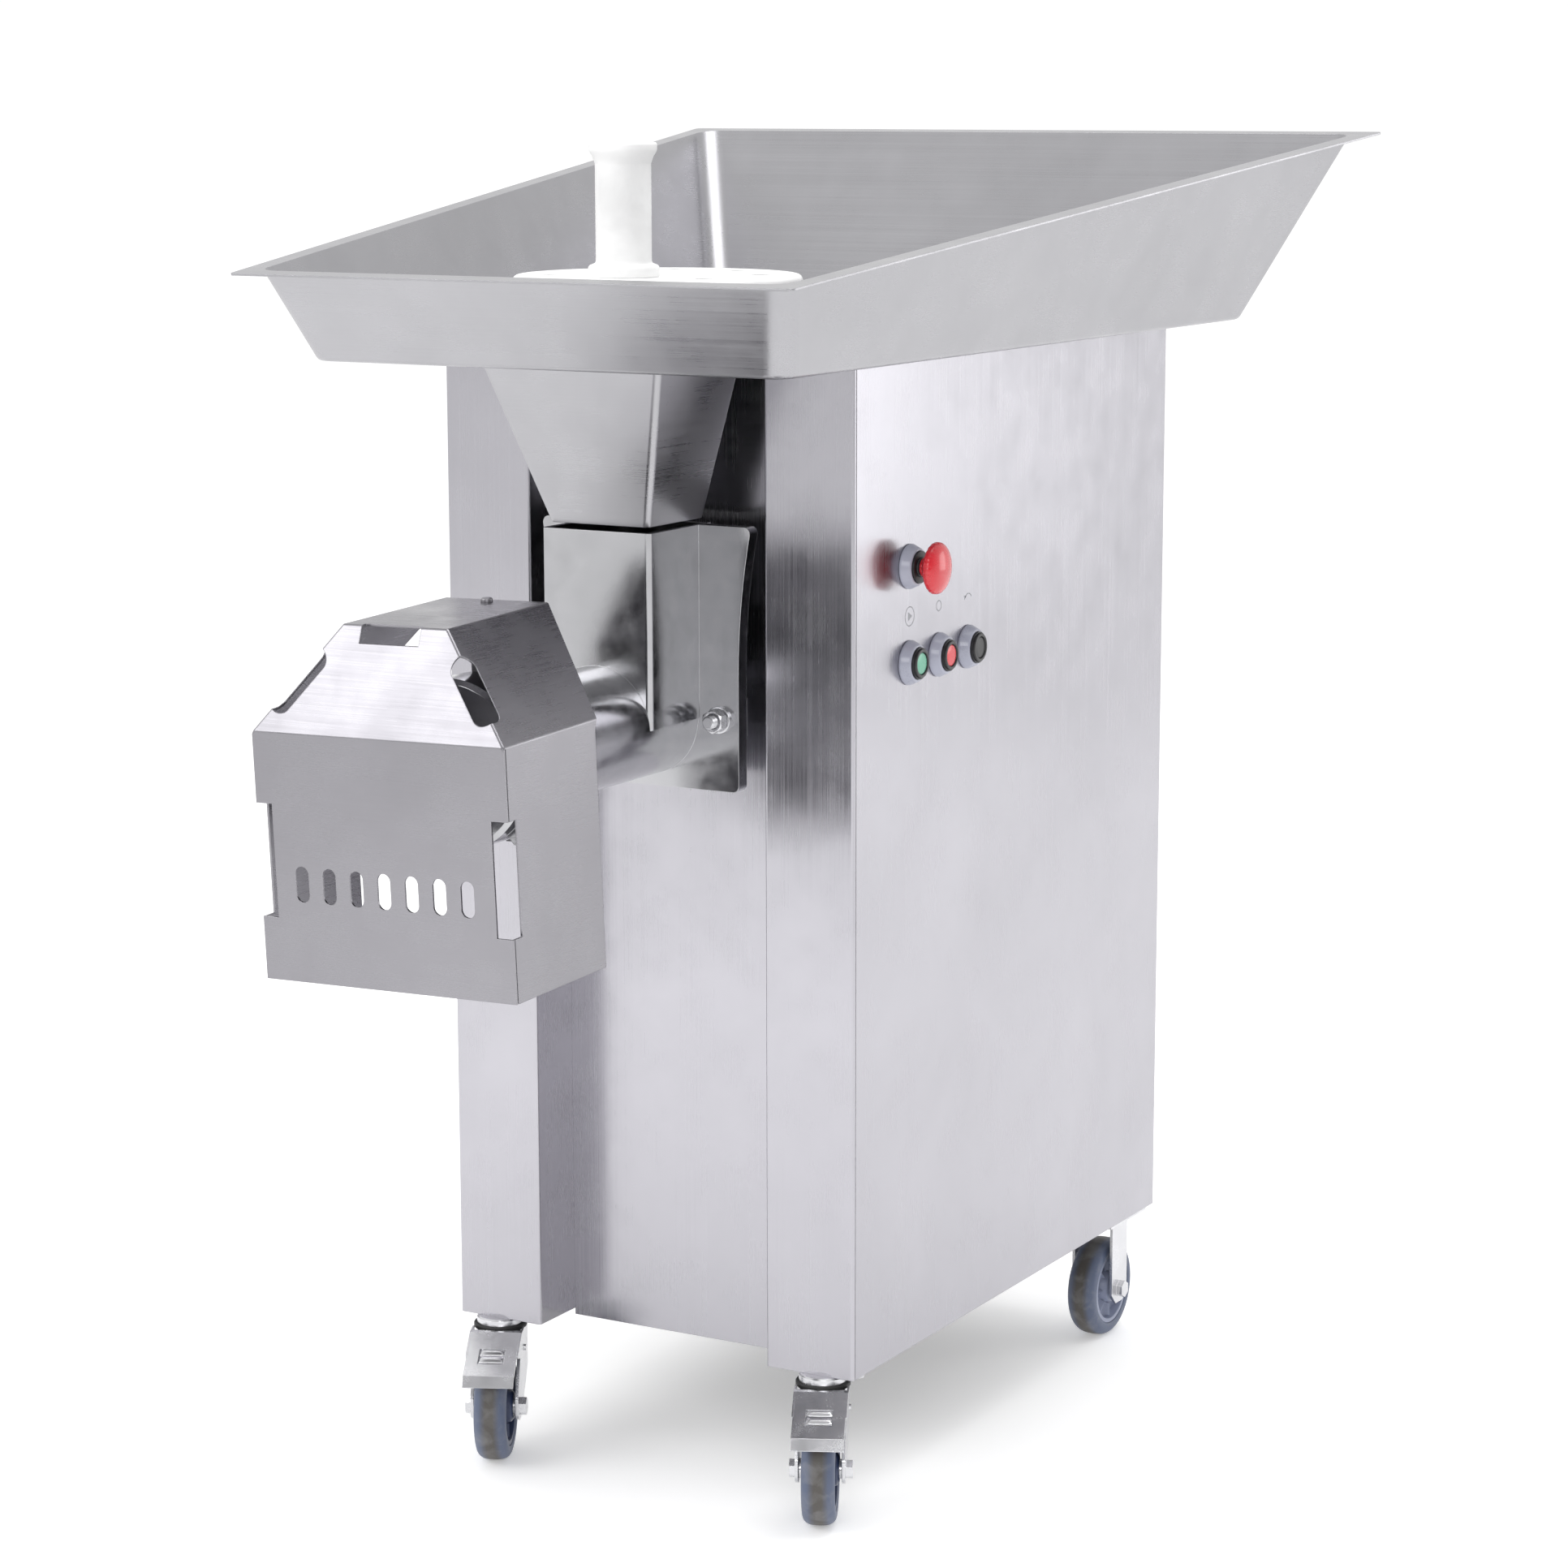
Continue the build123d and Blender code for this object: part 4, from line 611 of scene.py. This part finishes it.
def make_emergency_stop():
    centre = control_centre("estop_mushroom")
    neck = [(-16, 0), (-16, 5), (-12, 5), (-12, 8.5), (12.5, 8.5), (12.8, 8.3), (13.0, 7.6),
            (18, 7.6), (18, 6), (28, 6), (28, 0)]
    piece = lathe("estop_neck", in_metres(neck), centre, OUT, "black_plastic",
                  "estop_plunger")
    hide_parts("estop_plunger")
    rim, rim_r, dome_height = 27.8, 22.9, 8.3
    skirt = [(18.1, 6.3), (14.4, 7.9), (14.4, 8.4), (17.3, 8.5), (17.7, 10.2), (18.8, 12.4),
             (21.8, 16.8), (23.6, 20.6), (24.7, 22.2), (25.6, 22.85), (26.6, 23.0), (rim, rim_r)]
    dome = []
    for step in range(1, 12):
        angle = math.radians(step * 7.5)
        dome.append((rim + dome_height * math.sin(angle), rim_r * math.cos(angle)))
    dome.append((rim + dome_height, 0))
    hollow = [(28.3, 0), (28.3, 6.3), (18.1, 6.3)]

    def grips(angle, height, radius):
        # 24 shallow finger grips round the rim
        if radius < 19 * MM or height > 31 * MM:
            return radius, height
        depth = 0.35 * MM
        return radius - depth * (0.5 - 0.5 * math.cos(24 * angle)) ** 4, height

    outside = in_metres(skirt + dome)
    head = lathe("estop_head", outside, centre, OUT, "red_plastic", "estop_mushroom", 192, grips, 50.0)
    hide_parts("estop_mushroom")
    lathe("estop_socket", in_metres(hollow), centre, OUT, "red_plastic",
          "estop_mushroom", 48)


def arc_band(radius, width, start, end, count):
    """Outline of a flat band along an arc, angles in degrees."""
    outline = []
    for r, angles in ((radius + width / 2, range(count + 1)), (radius - width / 2, range(count, -1, -1))):
        for index in angles:
            angle = math.radians(start + (end - start) * index / count)
            outline.append((r * math.cos(angle), r * math.sin(angle)))
    return outline


def make_symbols():
    """Etched marks above the buttons: run, off and reverse, drawn as plain shapes."""
    film = 0.12 * MM
    turn = Matrix(((0, 0, 1), (1, 0, 0), (0, 1, 0))).to_4x4()

    def at(y, z):
        return Matrix.Translation((PANEL_FACE - film / 2, y, z)) @ turn

    start, stop, back = (control_centre(n) for n in ("start_button", "stop_button", "reverse_button"))
    lift = 41 * MM
    place = at(start.y + 1 * MM, start.z + lift)
    for index in range(2):
        band = arc_band(8.5 * MM, 0.9 * MM, 182 * index, 182 * index + 178, 24)
        plate(f"run_ring_{index}", band, place, film, "grey_plastic", "root")
    triangle = [(-3.0 * MM, -4.0 * MM), (4.6 * MM, 0), (-3.0 * MM, 4.0 * MM)]
    plate("run_triangle", triangle, place, film, "grey_plastic", "root")
    place = at(stop.y, stop.z + lift + 3 * MM)
    for index in range(2):
        band = arc_band(4.6 * MM, 0.9 * MM, 182 * index, 182 * index + 178, 20)
        plate(f"off_ring_{index}", band, place, film, "grey_plastic", "root")
    place = at(back.y + 1 * MM, back.z + lift)
    plate("reverse_arc", arc_band(7.5 * MM, 0.9 * MM, 35, 145, 16), place, film, "grey_plastic", "root")
    tip = [(-8.6 * MM, 6.6 * MM), (-4.0 * MM, 5.4 * MM), (-7.6 * MM, 2.2 * MM)]
    plate("reverse_tip", tip, place, film, "grey_plastic", "root")


# ---- pusher --------------------------------------------------------------------------------

def make_pusher():
    """Turned polyethylene pusher with a rounded collar, a flared grip and fine lathe rings."""
    base = low("pusher")
    top = high("pusher").z
    centre = Vector((middle("pusher").x, middle("pusher").y, 0))
    rest = high("feed_disc").z
    body_r = 24.3 * MM
    groove = 0.06 * MM
    rings = [(base.z, 0), (base.z, body_r - 3 * MM), (base.z + 0.9 * MM, body_r - 0.9 * MM)]
    rings += [(base.z + 3 * MM, body_r)]
    steps = 60
    for index in range(steps):
        z = base.z + 4 * MM + (rest - base.z - 6 * MM) * index / (steps - 1)
        rings.append((z, body_r - (groove if index % 2 else 0.0)))
    rings += [(rest, body_r), (rest, 30.2 * MM), (rest + 1.0 * MM, 31 * MM), (rest + 6.5 * MM, 31 * MM)]
    rings += arc_points((rest + 7 * MM, 27.0 * MM), 4.0 * MM, 80, 10, 6)
    rings += [(rest + 12 * MM, body_r + 0.8 * MM), (rest + 13.5 * MM, body_r)]
    shaft_top = top - 18 * MM
    for index in range(30):
        z = rest + 15 * MM + (shaft_top - rest - 16 * MM) * index / 29
        rings.append((z, body_r - (groove if index % 2 else 0.0)))
    rings += [(shaft_top, body_r), (top - 12 * MM, 26.4 * MM), (top - 8 * MM, 28.9 * MM)]
    rings += [(top - 6 * MM, 29.5 * MM)]
    rings += arc_points((top - 2.2 * MM, 27.3 * MM), 2.2 * MM, 90, 0, 6)
    rings += [(top - 0.3 * MM, 20 * MM), (top - 0.5 * MM, 0)]
    piece = lathe("pusher_turned", rings, centre, (0, 0, 1), "white_plastic", "pusher", 128)
    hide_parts("pusher")


# ---- wheels --------------------------------------------------------------------------------

WHEELS = {
    "front_left": (math.cos(FORK_TURN), math.sin(FORK_TURN), 0),
    "front_right": (math.cos(FORK_TURN), math.sin(FORK_TURN), 0),
    "rear_left": (1, 0, 0),
    "rear_right": (1, 0, 0),
}


def make_tyre(name, axis):
    centre = middle(f"tyre_{name}")
    half = [(12.2, 37.0), (14.2, 37.2), (14.8, 38.2), (15.0, 40.0), (15.0, 42.6), (14.4, 44.6),
            (13.2, 46.4), (11.4, 47.9), (9.2, 49.0), (6.6, 49.62), (3.4, 49.92), (0.8, 50.0)]
    section = half + [(-x, r) for x, r in reversed(half)]
    section.append(section[0])
    rings = in_metres(section)

    def skin(angle, height, radius):
        # moulding seams and slight flats, never beyond the true tread
        if radius < 43 * MM:
            return radius, height
        wave = 0.5 + 0.5 * math.sin(31 * angle + height * 400)
        return radius - 0.05 * MM * wave, height

    piece = lathe(f"tyre_{name}_tread", rings, centre, axis, "tyre_rubber", f"wheel_{name}",
                  around=128, shape=skin, sharp=50.0)
    tread = piece.data.attributes.new("tread", "FLOAT", "POINT")
    direction = Vector(axis).normalized()
    for index, vertex in enumerate(piece.data.vertices):
        across = abs((vertex.co - centre).dot(direction))
        tread.data[index].value = max(0.0, min(1.0, (9.5 * MM - across) / (5.0 * MM)))
    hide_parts(f"tyre_{name}")


def make_hub(name, axis):
    """Moulded wheel centre: rim, recessed web with ribs, and a boss round the bearing."""
    centre = middle(f"tyre_{name}")
    slot = "hub_blue" if name.startswith("front") else "hub_pale"
    web, ribs, rib_height = 6.0, 8, 6.0

    def shape(angle, height, radius):
        side = 1 if height > 0 else -1
        if not 17.3 * MM < radius < 30.7 * MM:
            return radius, height
        lobe = abs(math.cos(ribs * angle / 2)) ** 14
        depth = web + rib_height * lobe
        return radius, side * depth * MM

    half = [(17.0, 6.3), (17.0, 11.6), (16.4, 12.6), (14.8, 14.6), (8.0, 16.6), (web, 17.4), (web, 20.5),
            (web, 24.0), (web, 27.5), (web, 30.6), (8.0, 31.4), (13.6, 32.6), (14.0, 33.2), (14.0, 36.4),
            (13.4, 37.0)]
    section = half + [(-x, r) for x, r in reversed(half)]
    section.append(section[0])
    rings = in_metres(section)
    piece = lathe(f"hub_{name}_web", rings, centre, axis, slot, f"wheel_{name}", 192, shape, 32.0)
    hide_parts(f"hub_{name}")
    sleeve = [(15.2, 6.3), (15.2, 9.0), (19.0, 9.0), (19.4, 8.6), (19.4, 6.3), (15.2, 6.3)]
    for side, word in ((-1, "in"), (1, "out")):
        rings = in_metres([(side * h, r) for h, r in sleeve])
        lathe(f"sleeve_{name}_{word}", rings, centre, axis, "zinc_steel", f"wheel_{name}", 48)


def make_wheels():
    for name, axis in WHEELS.items():
        make_tyre(name, axis)
        make_hub(name, axis)


# ---- the scene -----------------------------------------------------------------------------

make_studio()
make_lock_bolts()
make_raceways()
make_pedal_tongues()
make_bezels()
make_buttons()
make_emergency_stop()
make_symbols()
make_pusher()
make_wheels()
dress_cad()
